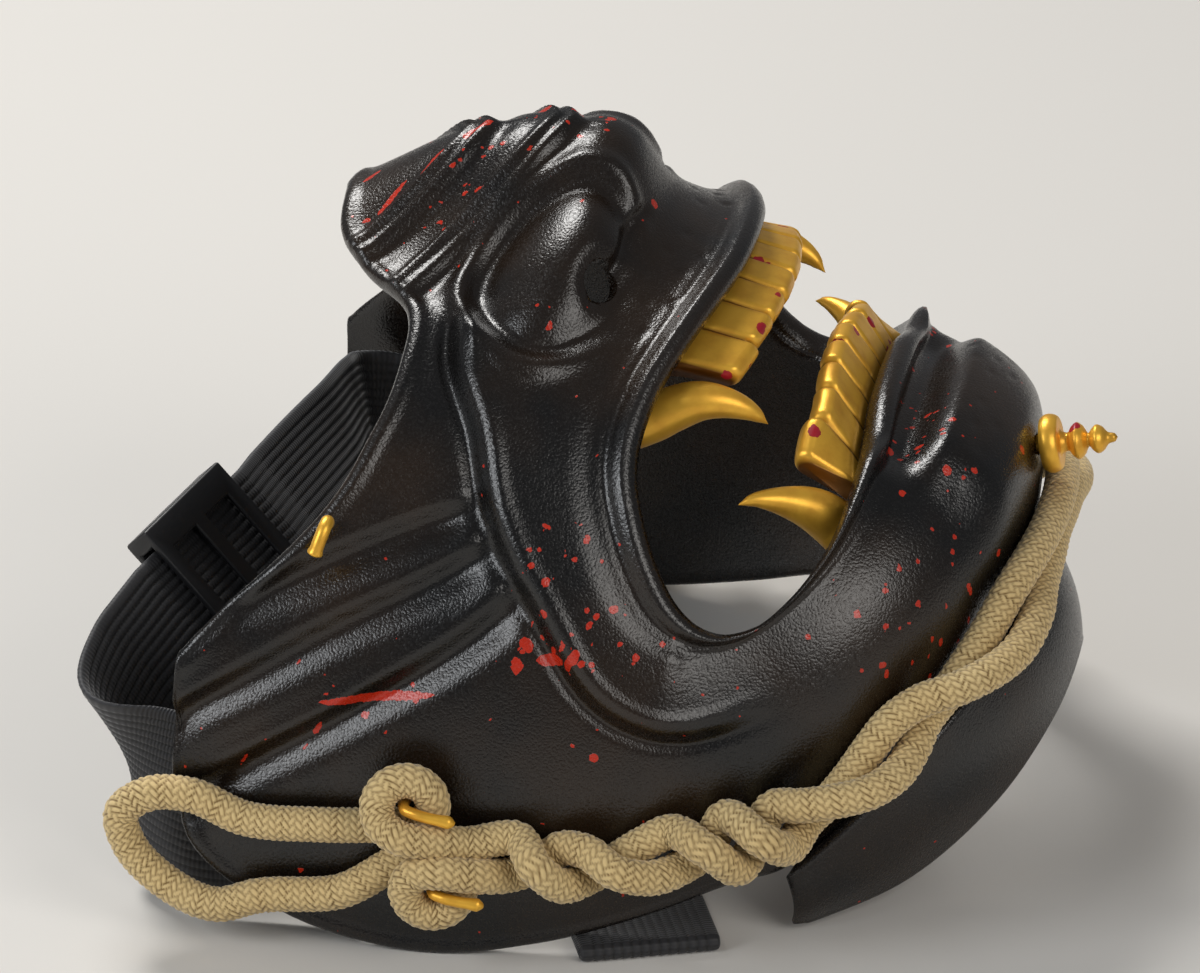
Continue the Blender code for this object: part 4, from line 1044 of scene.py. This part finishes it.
# The cord's route on the right side, the same chosen points as in the solids
CORD_BEND = table("around down height forward up", [
    (0.885, 1.95, 1.00, 0.00, 0.00),
    (0.915, 1.45, 1.00, 0.00, 0.00),
    (0.945, 1.00, 1.00, 0.10, 0.20),
    (0.975, 0.90, 1.00, 0.15, 0.90),
    (1.000, 0.88, 0.90, -0.25, 1.40),
    (1.000, 0.95, 0.80, -0.90, 1.10),
    (1.000, 1.10, 0.85, -1.15, 0.30),
    (0.995, 1.42, 0.95, -0.80, -0.30),
    (0.975, 1.80, 1.00, -0.20, 0.00),
    (0.945, 2.28, 1.00, 0.00, 0.00),
])
CORD_PAIR = table("around down turned wide", [
    (0.862, 3.35, 0.00, 1.00),
    (0.858, 3.75, 0.40, 1.00),
    (0.846, 4.20, 0.75, 1.00),
    (0.835, 4.70, 1.00, 1.05),
    (0.820, 5.25, 1.50, 1.40),
    (0.795, 5.80, 2.00, 1.05),
    (0.725, 6.15, 2.20, 1.00),
    (0.630, 6.32, 2.40, 1.00),
    (0.520, 6.43, 2.60, 1.00),
    (0.400, 6.52, 2.75, 1.00),
    (0.200, 6.62, 2.95, 1.00),
    (0.000, 6.62, 3.00, 1.00),
])


def pair_strand(sign, count):
    around, down, turned_by, wide = read(CORD_PAIR, np.linspace(0, 1, count))
    points = []
    for i in range(count):
        here, normal, _, _ = surface_frame(around[i], down[i])
        ahead, behind = min(i + 1, count - 1), max(i - 1, 0)
        run = form(around[ahead], down[ahead]) - form(around[behind], down[behind])
        across = np.cross(normal, unit(run))
        half = wide[i] * STRAND_PITCH / 2
        angle = turned_by[i] * 2 * math.pi
        height = STRAND_OFF + half * abs(math.sin(angle)) + sign * half * math.sin(angle)
        points.append(here + across * sign * half * math.cos(angle) + normal * height)
    return points


def hook_turn(at, sign, steps):
    here, normal, run, across = surface_frame(*at)
    points = []
    for i in range(steps + 1):
        angle = 2 * math.pi * i / steps
        height = STRAND_OFF + STRAND_PITCH * i / steps
        around_pin = run * math.sin(angle) - across * sign * math.cos(angle)
        points.append(here + around_pin * LOOP_RADIUS + normal * height)
    for forward, share in ((1.0, 0.75), (1.9, 0.25))[: 2 if sign > 0 else 1]:
        height = STRAND_OFF + STRAND_PITCH * share
        points.append(here - across * sign * LOOP_RADIUS + run * forward * CORD_DIAMETER + normal * height)
    return points


def cord_points():
    """The whole closed cord, first its right half, from the chin round the ear and back to the chin."""
    rows = zip(*(CORD_BEND[name] for name in CORD_BEND))
    bend = [
        off_form(around, down, height * STRAND_OFF) + CORD_DIAMETER * np.array([0, forward, up])
        for around, down, height, forward, up in rows
    ]
    upper = hook_turn(JAW_HOOKS["upper"], 1, 8) + pair_strand(1, 24)
    lower = hook_turn(JAW_HOOKS["lower"], -1, 8) + pair_strand(-1, 24)
    right = upper[::-1] + bend + lower
    left = [mirrored(point, -1) for point in right[::-1]]
    return np.array(right + left[1:-1])


def braid_height(around, along, strands, pitch):
    """The crown of a braid whose strands go over two and under two, 0 in its creases and 1 on top."""
    p, q = strands * around + along / pitch, strands * around - along / pitch
    i, j = np.floor(p), np.floor(q)
    fp, fq = p - i, q - j
    rank = np.mod(i - j, 4)
    rising = rank < 2
    over = np.where(rising, fq + (rank == 0), fp + (rank == 3)) / 2
    across = np.where(rising, fp, fq)
    crown = np.sin(math.pi * np.clip(over, 0, 1)) ** 0.6
    return np.sin(math.pi * across) ** 0.7 * (0.3 + 0.7 * crown)


# The head strap's route where the mask lies, as in the solids
HEAD_STRAP = table("x y z lean", [
    (-0.230, -0.903, 0.200, 0.00),
    (-0.330, -0.908, 0.200, 0.00),
    (-0.440, -0.901, 0.205, 0.05),
    (-0.515, -0.810, 0.240, 0.25),
    (-0.500, -0.650, 0.300, 0.55),
    (-0.450, -0.460, 0.360, 0.72),
    (-0.395, -0.180, 0.400, 0.72),
    (-0.365, 0.140, 0.405, 0.65),
    (-0.360, 0.440, 0.380, 0.45),
    (-0.375, 0.660, 0.345, 0.25),
    (-0.385, 0.780, 0.310, 0.08),
    (-0.360, 0.846, 0.285, 0.00),
    (-0.300, 0.875, 0.265, 0.00),
    (-0.230, 0.886, 0.250, 0.00),
])
STRAP_RINGS = 150
STRAP_RINGS_IN_BUCKLE = 16
BUCKLE_AT = 0.43
BUCKLE_SOFTENING = 0.45 * MM
BUCKLE_SHARP = math.radians(35)
CENTRED = Matrix.Translation((CENTRING, 0, 0))
NECK_STRAP_AT = (0.15, -0.92)
NECK_STRAP_AIM = (-0.35, 0.937)


def strap_frame(t):
    """A place on the head strap with its run, its width direction and its face direction."""
    scale = np.array([FACE_HEIGHT, FACE_WIDTH / 2, FACE_DEPTH])

    def at(share):
        return np.array(read(HEAD_STRAP, share)[:3]) * scale

    run = unit(at(min(t + 0.005, 1.0)) - at(max(t - 0.005, 0.0)))
    lean = float(read(HEAD_STRAP, t)[3])
    width = np.array([-lean, 0, math.sqrt(1 - lean * lean)])
    width = unit(width - run * (width @ run))
    return at(t), run, width, np.cross(run, width)


def webbing(name, frames, sizes, settings, material):
    """A ribbed woven band along frames of centre, width unit and face unit, with thick rounded selvedges."""
    across, thick = sizes
    ribs = max(2, round(across / settings.rib))
    sides = np.linspace(-1, 1, 6 * ribs + 1)
    roundness = (1 - np.abs(sides) ** 24) ** 0.5
    rib = np.abs(np.sin(sides * ribs * math.pi / 2))
    selvedge = np.abs(sides) > 1 - 2.2 / ribs
    top = roundness * (thick / 2 - settings.rib_depth * (1 - rib ** 0.6) * ~selvedge)
    place = np.concatenate([sides, sides[::-1][1:-1]])
    height = np.concatenate([top, -top[::-1][1:-1]])
    # Weight of the ribs' crests, which the material keeps clear of painted shade; the selvedges get 0.8
    crest = np.where(selvedge, 0.8, rib)
    crest = np.concatenate([crest, crest[::-1][1:-1]])
    centres, widths, faces = (np.array(part) for part in zip(*frames))
    rings = centres[:, None] + widths[:, None] * (place * across / 2)[None, :, None]
    rings = rings + faces[:, None] * height[None, :, None]
    piece = capped(name, rings, material)
    paint_weight(piece, "rib", np.tile(crest, len(frames)))
    run = np.concatenate([[0], np.cumsum(np.linalg.norm(np.diff(centres, axis=0), axis=1))])
    layer = piece.data.uv_layers.new(name="weave")
    corners = np.empty(len(piece.data.loops), np.int32)
    piece.data.loops.foreach_get("vertex_index", corners)
    u = np.tile(place * across / 2, len(frames)) / settings.pick
    v = np.repeat(run, len(place)) / settings.pick
    layer.data.foreach_set("uv", np.stack([u, v], -1)[corners].ravel().astype(np.float32))
    return piece


def colour_property(name, description, code):
    return FloatVectorProperty(
        name=name, description=description, subtype="COLOR", size=4, min=0, max=1, default=linear(code)
    )


def length_property(name, description, default):
    return FloatProperty(
        name=name, description=description, default=default, min=0, precision=5, unit="LENGTH"
    )


class GUARD_PG_mask(bpy.types.PropertyGroup):
    spokes: IntProperty(
        name="Spokes", description="Sections of the shell round the mouth", default=400, min=96
    )
    rows: IntProperty(name="Rows", description="Rows of the shell from lip to outline", default=130, min=20)
    groove: length_property("Groove relief", "Height of the fine grooves and beads", 0.7 * MM)
    wrinkle: length_property("Wrinkle relief", "Height of the snarl wrinkles on the bridge", 1.3 * MM)
    ring: length_property("Ring relief", "Height of the ring over each nostril", 1.5 * MM)
    enamel: colour_property("Enamel", "Colour of the black enamel", "#080707")
    # Colour of the painted warm sheen that lies in clouds over the black enamel
    painted_sheen: colour_property("Painted sheen", "Colour of the bronze dusting over it", "#21160c")
    # Colour of the painted highlight on the rims
    painted_rim_highlight: colour_property("Painted rim highlight", "Colour of the painted highlight on the rims", "#1d1b1a")
    fleck: colour_property("Fleck", "Colour of the flicked paint", "#b32710")


class GUARD_PG_gilding(bpy.types.PropertyGroup):
    gold: colour_property("Gold", "Colour of the gilding", "#f3bb42")
    gold_shade: colour_property("Thin gold", "Colour where the gilding is thin", "#dd9f35")
    # Colour of the painted shade in the grooves and at the roots of the gilt pieces
    gold_crevice_shade: colour_property("Grooves", "Colour of the grooves between the teeth", "#6e4410")
    fleck: colour_property("Fleck", "Colour of the flicked paint", "#9c0f22")


class GUARD_PG_cord(bpy.types.PropertyGroup):
    strands: IntProperty(
        name="Strands", description="Strands of the braid in each direction", default=12, min=4
    )
    braid_pitch: length_property("Braid pitch", "Length of one stitch along the cord", 1.15 * MM)
    braid_depth: length_property("Braid depth", "Depth of the creases between stitches", 0.42 * MM)
    yarn: colour_property("Yarn", "Colour of the yarn", "#cdb078")
    yarn_pale: colour_property("Pale yarn", "Colour of its paler patches", "#dcc48f")
    # Colour of the painted shade between the stitches
    yarn_crease_shade: colour_property("Crease", "Colour between the stitches", "#7d6236")


class GUARD_PG_straps(bpy.types.PropertyGroup):
    rib: length_property("Rib", "Width of one warp rib of the webbing", 1.6 * MM)
    rib_depth: length_property("Rib depth", "Depth between the ribs", 0.25 * MM)
    pick: length_property("Pick", "Spacing of the weft", 1.1 * MM)
    webbing: colour_property("Webbing", "Colour of the webbing", "#17171a")
    webbing_pale: colour_property("Rubbed webbing", "Colour of its rubbed patches", "#242428")
    # Colour of the painted shade between the ribs
    webbing_rib_shade: colour_property("Between ribs", "Colour between the ribs", "#08080a")
    acetal: colour_property("Buckle", "Colour of the buckle", "#121214")


class GUARD_PG_stage(bpy.types.PropertyGroup):
    azimuth: FloatProperty(
        name="Azimuth", description="The camera's turn", default=math.radians(10), unit="ROTATION"
    )
    elevation: FloatProperty(
        name="Elevation", description="The camera's height", default=math.radians(25), unit="ROTATION"
    )
    distance: FloatProperty(
        name="Distance", description="From the camera to the mask", default=1.4, unit="LENGTH"
    )
    lens: FloatProperty(name="Lens", description="Focal length in millimetres", default=242.0)
    paper: colour_property("Floor", "Colour of the floor", "#d6d3ce")


LOOK_AT = (-5 * MM, 0, 54.2 * MM)
SENSOR_WIDTH = 36
FLOOR_HALF = 1.6
# The soft lights: place and size in metres, power in watts and colour
LIGHTS = [
    ("key", (-0.45, 0.50, 0.95), 0.42, 9.5, (1.0, 0.985, 0.96)),
    ("side", (-0.75, -0.65, 0.55), 0.5, 5.5, (0.94, 0.97, 1.0)),
    ("fill", (0.85, -0.75, 0.7), 0.7, 6.0, (1.0, 0.97, 0.93)),
]
STUDIO_COLOUR = "#e8eaee"
STUDIO_STRENGTH = 0.22


class GUARD_OT_stage(bpy.types.Operator):
    """Sets up the camera, the soft lights and the pale floor"""

    bl_idname = "guard.stage"
    bl_label = "Stage"

    def execute(self, context):
        settings = context.scene.guard_stage
        a, e = settings.azimuth, settings.elevation
        target = Vector(LOOK_AT)
        back = Vector((math.sin(a) * math.cos(e), -math.cos(a) * math.cos(e), math.sin(e)))
        lens = bpy.data.cameras.new("view")
        lens.lens = settings.lens
        lens.sensor_width = SENSOR_WIDTH
        lens.clip_start = 0.05
        camera = bpy.data.objects.new("view", lens)
        camera.location = target + back * settings.distance
        camera.rotation_euler = back.to_track_quat("Z", "Y").to_euler()
        context.scene.collection.objects.link(camera)
        context.scene.camera = camera

        corners = [(x * FLOOR_HALF, y * FLOOR_HALF, 0) for x, y in ((-1, -1), (1, -1), (1, 1), (-1, 1))]
        mesh = bpy.data.meshes.new("floor")
        mesh.from_pydata(corners, [], [(0, 1, 2, 3)])
        mesh.materials.append(matt_paper(settings))
        floor = bpy.data.objects.new("floor", mesh)
        context.scene.collection.objects.link(floor)

        for name, place, size, power, colour in LIGHTS:
            data = bpy.data.lights.new(name, "AREA")
            data.size = size
            data.energy = power
            data.color = colour
            light = bpy.data.objects.new(name, data)
            light.location = place
            light.rotation_euler = (Vector(place) - target).to_track_quat("Z", "Y").to_euler()
            context.scene.collection.objects.link(light)
        world = bpy.data.worlds.new("studio")
        world.use_nodes = True
        background = world.node_tree.nodes["Background"]
        background.inputs["Color"].default_value = linear(STUDIO_COLOUR)
        background.inputs["Strength"].default_value = STUDIO_STRENGTH
        context.scene.world = world
        context.scene.view_settings.view_transform = "Standard"
        return {"FINISHED"}


class GUARD_OT_face_shell(bpy.types.Operator):
    """Builds the lacquered half mask, with its rims, wrinkles, pits, nostrils and peg hole"""

    bl_idname = "guard.face_shell"
    bl_label = "Face shell"

    def execute(self, context):
        settings = context.scene.guard_mask
        rings, front = shell_skin(settings)
        outside = front.ravel()
        points = rings.reshape(-1, 3)
        peg_hole = PEG_SHANK_RADIUS + SEAT_GAP
        cutters = [hole_cutter(form(0.0, PEG_AT), outward(0.0, PEG_AT), peg_hole, 6 * WALL)]
        for side in SIDES.values():
            for around, down in PITS:
                centre, normal = form(side * around, down), outward(side * around, down)
                off = np.linalg.norm(points - centre - normal * 0.4 * LIP_ROLL, axis=1)
                depth = PIT_DEPTH * outside * bump(off, 0, PIT_RADIUS)
                points = points - normal * depth[:, None]
        for side in SIDES.values():
            centre, aim = nostril(side)
            away = points - centre
            off = np.linalg.norm(np.cross(away, unit(aim)), axis=1) / NOSTRIL_RADIUS
            near = outside * (np.linalg.norm(away, axis=1) < 3 * NOSTRIL_RADIUS)
            points = points - (near * np.exp(-((off / 1.4) ** 4)))[:, None] * aim * NOSTRIL_ROUNDING
            cutters.append(hole_cutter(centre, aim, NOSTRIL_RADIUS, 8 * WALL))
        material = satin_enamel(settings)
        piece = mesh_object("lacquered_shell", points, lattice_faces(*rings.shape[:2]), material)
        marks = []
        for side, around, down, radius, amount in FLECKS:
            marks.append((mirrored(form(around, down), side), radius * MM, amount))
        paint_weight(piece, "flecks", fleck_amount(points, marks, SHELL_FLECKS) * outside)
        # The rims of the shell take the painted highlight
        steps = np.abs(np.diff(front, axis=1, append=front[:, :1]))
        paint_weight(piece, "rim", RIM_HIGHLIGHT * np.maximum(steps, np.roll(steps, 1, axis=1)))
        cut_out(piece, cutters)
        settle(piece, "black_lacquer", "face_shell", place=lay_down())
        return {"FINISHED"}


PLATE_TOP = 7.15
PLATE_TOP_END = 0.95
PLATE_COLUMNS = 141
PLATE_ROWS = 36
PLATE_BELLY = 0.6 * PLATE_THICKNESS
# The plate thins to this share at both ends, over the last of its width
PLATE_END_SHARE = 0.4
PLATE_END_RISE = 20
PLATE_EDGE = table("x y z", [
    (0.00, 0.500, -0.530), (0.20, 0.450, -0.522), (0.38, 0.335, -0.485),
    (0.56, 0.215, -0.410), (0.74, 0.130, -0.297),
])


class GUARD_OT_throat_plate(bpy.types.Operator):
    """Builds the curved plate under the chin, with rounded rims"""

    bl_idname = "guard.throat_plate"
    bl_label = "Throat plate"

    def execute(self, context):
        edge = {name: np.concatenate([PLATE_EDGE[name][:0:-1], PLATE_EDGE[name]]) for name in PLATE_EDGE}
        edge["x"][: len(PLATE_EDGE["x"])] *= -1
        shares = np.linspace(0, 1, PLATE_ROWS)
        # Down the front, round the lower rim, up the back and round the upper rim
        section = [(share, 1.0, 0.0) for share in shares]
        section += [(1.0, math.cos(bend), math.sin(bend)) for bend in RIM_BENDS]
        section += [(share, -1.0, 0.0) for share in shares[::-1]]
        section += [(0.0, -math.cos(bend), -math.sin(bend)) for bend in RIM_BENDS]
        share, face, rim = np.array(section).T
        radius = PLATE_THICKNESS / 2
        rings = []
        for t in np.linspace(-1, 1, PLATE_COLUMNS):
            place = (PLATE_TOP_END * t, PLATE_TOP)
            top, away = off_form(*place, 2 * SEAT_GAP), outward(*place)
            x, y, z = read(edge, (t + 1) / 2)
            low = np.array([x * FACE_WIDTH / 2, y * FACE_DEPTH, z * FACE_HEIGHT])
            length = np.linalg.norm(low - top)
            run = (low - top) / length
            away = unit(away - run * (away @ run))
            thick = radius * min(1.0, PLATE_END_SHARE + PLATE_END_RISE * (1 - abs(t)))
            along = share * (length - 2 * radius) + radius + rim * thick
            height = np.sin(math.pi * share) * PLATE_BELLY + radius + face * thick
            rings.append(top + run * along[:, None] + away * height[:, None])
        rings = np.array(rings)
        piece = capped("lacquered_throat_plate", rings, bpy.data.materials["satin_enamel_on_resin"])
        marks = [(form(0.62, 6.9), 9 * MM, 0.06)]
        paint_weight(piece, "flecks", fleck_amount(rings.reshape(-1, 3), marks, PLATE_FLECKS))
        # The rims of the plate take the painted highlight
        paint_weight(piece, "rim", np.tile(RIM_HIGHLIGHT * np.abs(rim), PLATE_COLUMNS))
        settle(piece, "black_lacquer", "throat_plate", place=lay_down())
        return {"FINISHED"}


class GUARD_OT_teeth(bpy.types.Operator):
    """Builds the two rows of teeth and the four fangs"""

    bl_idname = "guard.teeth"
    bl_label = "Teeth and fangs"

    def execute(self, context):
        material = gilt(context.scene.guard_gilding)
        pieces = [
            (tooth_row("gilt_upper_teeth", True, material), "upper_teeth"),
            (tooth_row("gilt_lower_teeth", False, material), "lower_teeth"),
        ]
        for hand, side in SIDES.items():
            for jaw, (columns, radius) in FANGS.items():
                node = f"{jaw}_fang_{hand}"
                pieces.append((fang(f"gilt_{node}", columns, radius, side, material), node))
        for piece, node in pieces:
            fleck_evenly(piece, TEETH_FLECKS if "teeth" in node else FANG_FLECKS)
            settle(piece, "gold_paint", node, place=lay_down())
        return {"FINISHED"}


class GUARD_OT_chin_peg(bpy.types.Operator):
    """Turns the peg under the chin"""

    bl_idname = "guard.chin_peg"
    bl_label = "Chin peg"

    def execute(self, context):
        rows = zip(PEG_PROFILE["radius"] * PEG_RADIUS, PEG_PROFILE["height"] * PEG_LENGTH)
        profile = through([(radius, 0, height) for radius, height in rows], PEG_RINGS)
        radii = np.concatenate([np.clip(profile[:, 0], PEG_POINT_RADIUS, None), [PEG_SHANK_RADIUS] * 2])
        heights = np.concatenate([profile[:, 2], [0, -WALL]])
        angle = np.linspace(0, 2 * math.pi, PEG_SIDES, endpoint=False)
        x, y = radii[:, None] * np.cos(angle), radii[:, None] * np.sin(angle)
        rings = np.stack([x, y, np.broadcast_to(heights[:, None], x.shape)], -1)
        piece = capped("gilt_chin_peg", rings, bpy.data.materials["bronze_powder_gilding"])
        # Painted shade darkens the peg where it is thin: its necks, its shank and its point
        paint_weight(piece, "crevice_shade", np.repeat(np.clip(0.45 - radii / PEG_RADIUS, 0, 1), PEG_SIDES))
        fleck_evenly(piece, PEG_FLECKS)
        seat = Matrix.Translation(off_form(0.0, PEG_AT, 3 * SEAT_GAP)) @ square_to(outward(0.0, PEG_AT))
        settle(piece, "gold_paint", "chin_peg", place=lay_down() @ seat)
        return {"FINISHED"}


class GUARD_OT_hooks(bpy.types.Operator):
    """Bends the pins at the cheeks and the jaw"""

    bl_idname = "guard.hooks"
    bl_label = "Hooks"

    def execute(self, context):
        material = bpy.data.materials["bronze_powder_gilding"]
        settings = context.scene.guard_mask
        far = np.array([FACE_WIDTH])
        for hand, side in SIDES.items():
            lines = [(f"cheek_hook_{hand}", cheek_hook_line(side), CHEEK_WIRE_RADIUS)]
            for height, at in JAW_HOOKS.items():
                carved = relief(np.array([at[0]]), np.array([at[1]]), far, far, settings)[0]
                line = jaw_hook_line(at, side, carved)
                lines.append((f"jaw_hook_{height}_{hand}", line, HOOK_WIRE_RADIUS))
            for node, line, radius in lines:
                piece = wire(f"gilt_{node}", line, radius, material)
                fleck_evenly(piece, HOOK_FLECKS)
                settle(piece, "gold_paint", node, place=lay_down())
        return {"FINISHED"}


class GUARD_OT_tie_cord(bpy.types.Operator):
    """Braids the doubled cord that is tied round the jaw, in a right and a left half"""

    bl_idname = "guard.tie_cord"
    bl_label = "Tie cord"

    def execute(self, context):
        settings = context.scene.guard_cord
        line = closed_smooth(cord_points(), CORD_RINGS)
        first, second = carried_frames(line, closed=True)
        run = np.linalg.norm(np.roll(line, -1, axis=0) - line, axis=1)
        along = np.concatenate([[0], np.cumsum(run)[:-1]])
        pitch = run.sum() / (4 * round(run.sum() / settings.braid_pitch / 4))
        sides = 4 * settings.strands
        around = np.linspace(0, 1, sides, endpoint=False)
        crown = braid_height(around[None, :], along[:, None], settings.strands, pitch)
        radii = CORD_DIAMETER / 2 - settings.braid_depth * (0.85 - crown)
        material = braided_polyester(settings)
        chin = next(i for i in range(1, len(line)) if line[i - 1, 0] > 0 >= line[i, 0])
        halves = {"right": np.arange(0, chin + 1), "left": np.append(np.arange(chin, len(line)), 0)}
        for name, keep in halves.items():
            rings = tube_rings(line[keep], radii[keep], sides, first[keep], second[keep])
            piece = capped(f"braided_cord_{name}", rings, material)
            # The braid's crown also sets the painted shade in its creases
            paint_weight(piece, "crown", crown[keep])
            settle(piece, "tan_cord", "tie_cord", place=lay_down())
        return {"FINISHED"}


class GUARD_OT_head_strap(bpy.types.Operator):
    """Weaves the wide strap behind the head"""

    bl_idname = "guard.head_strap"
    bl_label = "Head strap"

    def execute(self, context):
        settings = context.scene.guard_straps
        middle, run, width, face = strap_frame(BUCKLE_AT)
        reach = np.linspace(-0.7, 0.7, STRAP_RINGS_IN_BUCKLE) * BUCKLE_LENGTH
        straight = [(middle + run * along, width, face) for along in reach]
        before, after = [], []
        for t in np.linspace(0, 1, STRAP_RINGS):
            centre, _, across, out = strap_frame(t)
            if np.linalg.norm(centre - middle) > BUCKLE_LENGTH:
                (before if t < BUCKLE_AT else after).append((centre, across, out))
        frames = before + straight + after
        sizes = (HEAD_STRAP_WIDTH, HEAD_STRAP_THICKNESS)
        piece = webbing("woven_head_strap", frames, sizes, settings, woven_nylon(settings))
        settle(piece, "black_webbing", "head_strap", place=CENTRED)
        return {"FINISHED"}


class GUARD_OT_neck_strap(bpy.types.Operator):
    """Weaves the narrow strap that lies folded under the jaw"""

    bl_idname = "guard.neck_strap"
    bl_label = "Neck strap"

    def execute(self, context):
        settings = context.scene.guard_straps
        start = np.array([NECK_STRAP_AT[0] * FACE_HEIGHT, NECK_STRAP_AT[1] * FACE_WIDTH / 2, 0])
        aim = unit(np.array([*NECK_STRAP_AIM, 0]))
        width = np.array([aim[1], -aim[0], 0])
        up = np.array([0, 0, 1])
        radius = NECK_STRAP_THICKNESS / 2 + SEAT_GAP
        low = NECK_STRAP_THICKNESS / 2
        path = [(along, low + 2 * radius, 90.0) for along in np.linspace(NECK_STRAP_FOLD, 0, 26)]
        for angle in np.linspace(90, 270, 15)[1:-1]:
            turn = math.radians(angle)
            path.append((radius * math.cos(turn), low + radius + radius * math.sin(turn), angle))
        path += [(along, low, 270.0) for along in np.linspace(0, NECK_STRAP_LENGTH, 70)]
        frames = []
        for along, height, angle in path:
            turn = math.radians(angle)
            face = aim * math.cos(turn) + up * math.sin(turn)
            frames.append((start + aim * along + up * height, width, face))
        material = bpy.data.materials["woven_nylon_webbing"]
        sizes = (NECK_STRAP_WIDTH, NECK_STRAP_THICKNESS)
        piece = webbing("woven_neck_strap", frames, sizes, settings, material)
        settle(piece, "black_webbing", "neck_strap", place=CENTRED)
        return {"FINISHED"}


class GUARD_OT_strap_buckle(bpy.types.Operator):
    """Moulds the slider on the head strap, with softened edges"""

    bl_idname = "guard.strap_buckle"
    bl_label = "Strap buckle"

    def execute(self, context):
        centre, run, width, face = strap_frame(BUCKLE_AT)
        place = Matrix(np.column_stack([run, width, face]).tolist()).to_4x4()
        place.translation = centre
        inside = HEAD_STRAP_WIDTH + 4 * SEAT_GAP
        slot = (2 * BUCKLE_LENGTH, inside, HEAD_STRAP_THICKNESS + 6 * SEAT_GAP)
        window = (BUCKLE_LENGTH - 3 * BUCKLE_RIM) / 2
        sizes = [((BUCKLE_LENGTH, inside + 2 * BUCKLE_RIM, BUCKLE_THICKNESS), 0.0), (slot, 0.0)]
        for side in (-1, 1):
            opening = (window, HEAD_STRAP_WIDTH - BUCKLE_RIM, 2 * BUCKLE_THICKNESS)
            sizes.append((opening, side * (window + BUCKLE_RIM) / 2))
        made = []
        for size, shift in sizes:
            at = Matrix.Translation((shift, 0, 0)) @ Matrix.Diagonal((*size, 1))
            made.append(block_object("block", bmesh.ops.create_cube, size=1, matrix=at))
        buckle = made[0]
        buckle.name = "moulded_strap_buckle"
        buckle.data.materials.append(moulded_acetal(context.scene.guard_straps))
        cut_out(buckle, made[1:])
        soften = buckle.modifiers.new("soften", "BEVEL")
        soften.width = BUCKLE_SOFTENING
        soften.segments = 3
        soften.limit_method = "ANGLE"
        apply_modifiers(buckle)
        buckle.data.shade_smooth()
        buckle.data.set_sharp_from_angle(angle=BUCKLE_SHARP)
        settle(buckle, "buckle_plastic", "strap_buckle", place=CENTRED @ place)
        return {"FINISHED"}


GROUPS = {
    "guard_mask": GUARD_PG_mask,
    "guard_gilding": GUARD_PG_gilding,
    "guard_cord": GUARD_PG_cord,
    "guard_straps": GUARD_PG_straps,
    "guard_stage": GUARD_PG_stage,
}
OPERATORS = [
    GUARD_OT_stage,
    GUARD_OT_face_shell,
    GUARD_OT_throat_plate,
    GUARD_OT_teeth,
    GUARD_OT_chin_peg,
    GUARD_OT_hooks,
    GUARD_OT_tie_cord,
    GUARD_OT_head_strap,
    GUARD_OT_neck_strap,
    GUARD_OT_strap_buckle,
]


class GUARD_PT_panel(bpy.types.Panel):
    """Lists the pieces of the face guard and their settings"""

    bl_idname = "GUARD_PT_panel"
    bl_label = "Face guard"
    bl_space_type = "VIEW_3D"
    bl_region_type = "UI"
    bl_category = "Face guard"

    def draw(self, context):
        for operator in OPERATORS:
            self.layout.operator(operator.bl_idname)
        for name, group in GROUPS.items():
            box = self.layout.box()
            box.label(text=name.replace("_", " "))
            for setting in group.__annotations__:
                box.prop(getattr(context.scene, name), setting)


def register():
    for name, group in GROUPS.items():
        bpy.utils.register_class(group)
        setattr(bpy.types.Scene, name, PointerProperty(type=group))
    for operator in OPERATORS:
        bpy.utils.register_class(operator)
    bpy.utils.register_class(GUARD_PT_panel)


def unregister():
    bpy.utils.unregister_class(GUARD_PT_panel)
    for operator in reversed(OPERATORS):
        bpy.utils.unregister_class(operator)
    for name, group in GROUPS.items():
        delattr(bpy.types.Scene, name)
        bpy.utils.unregister_class(group)


def main():
    register()
    for operator in OPERATORS:
        family, piece = operator.bl_idname.split(".")
        getattr(getattr(bpy.ops, family), piece)()


if __name__ == "__main__":
    main()
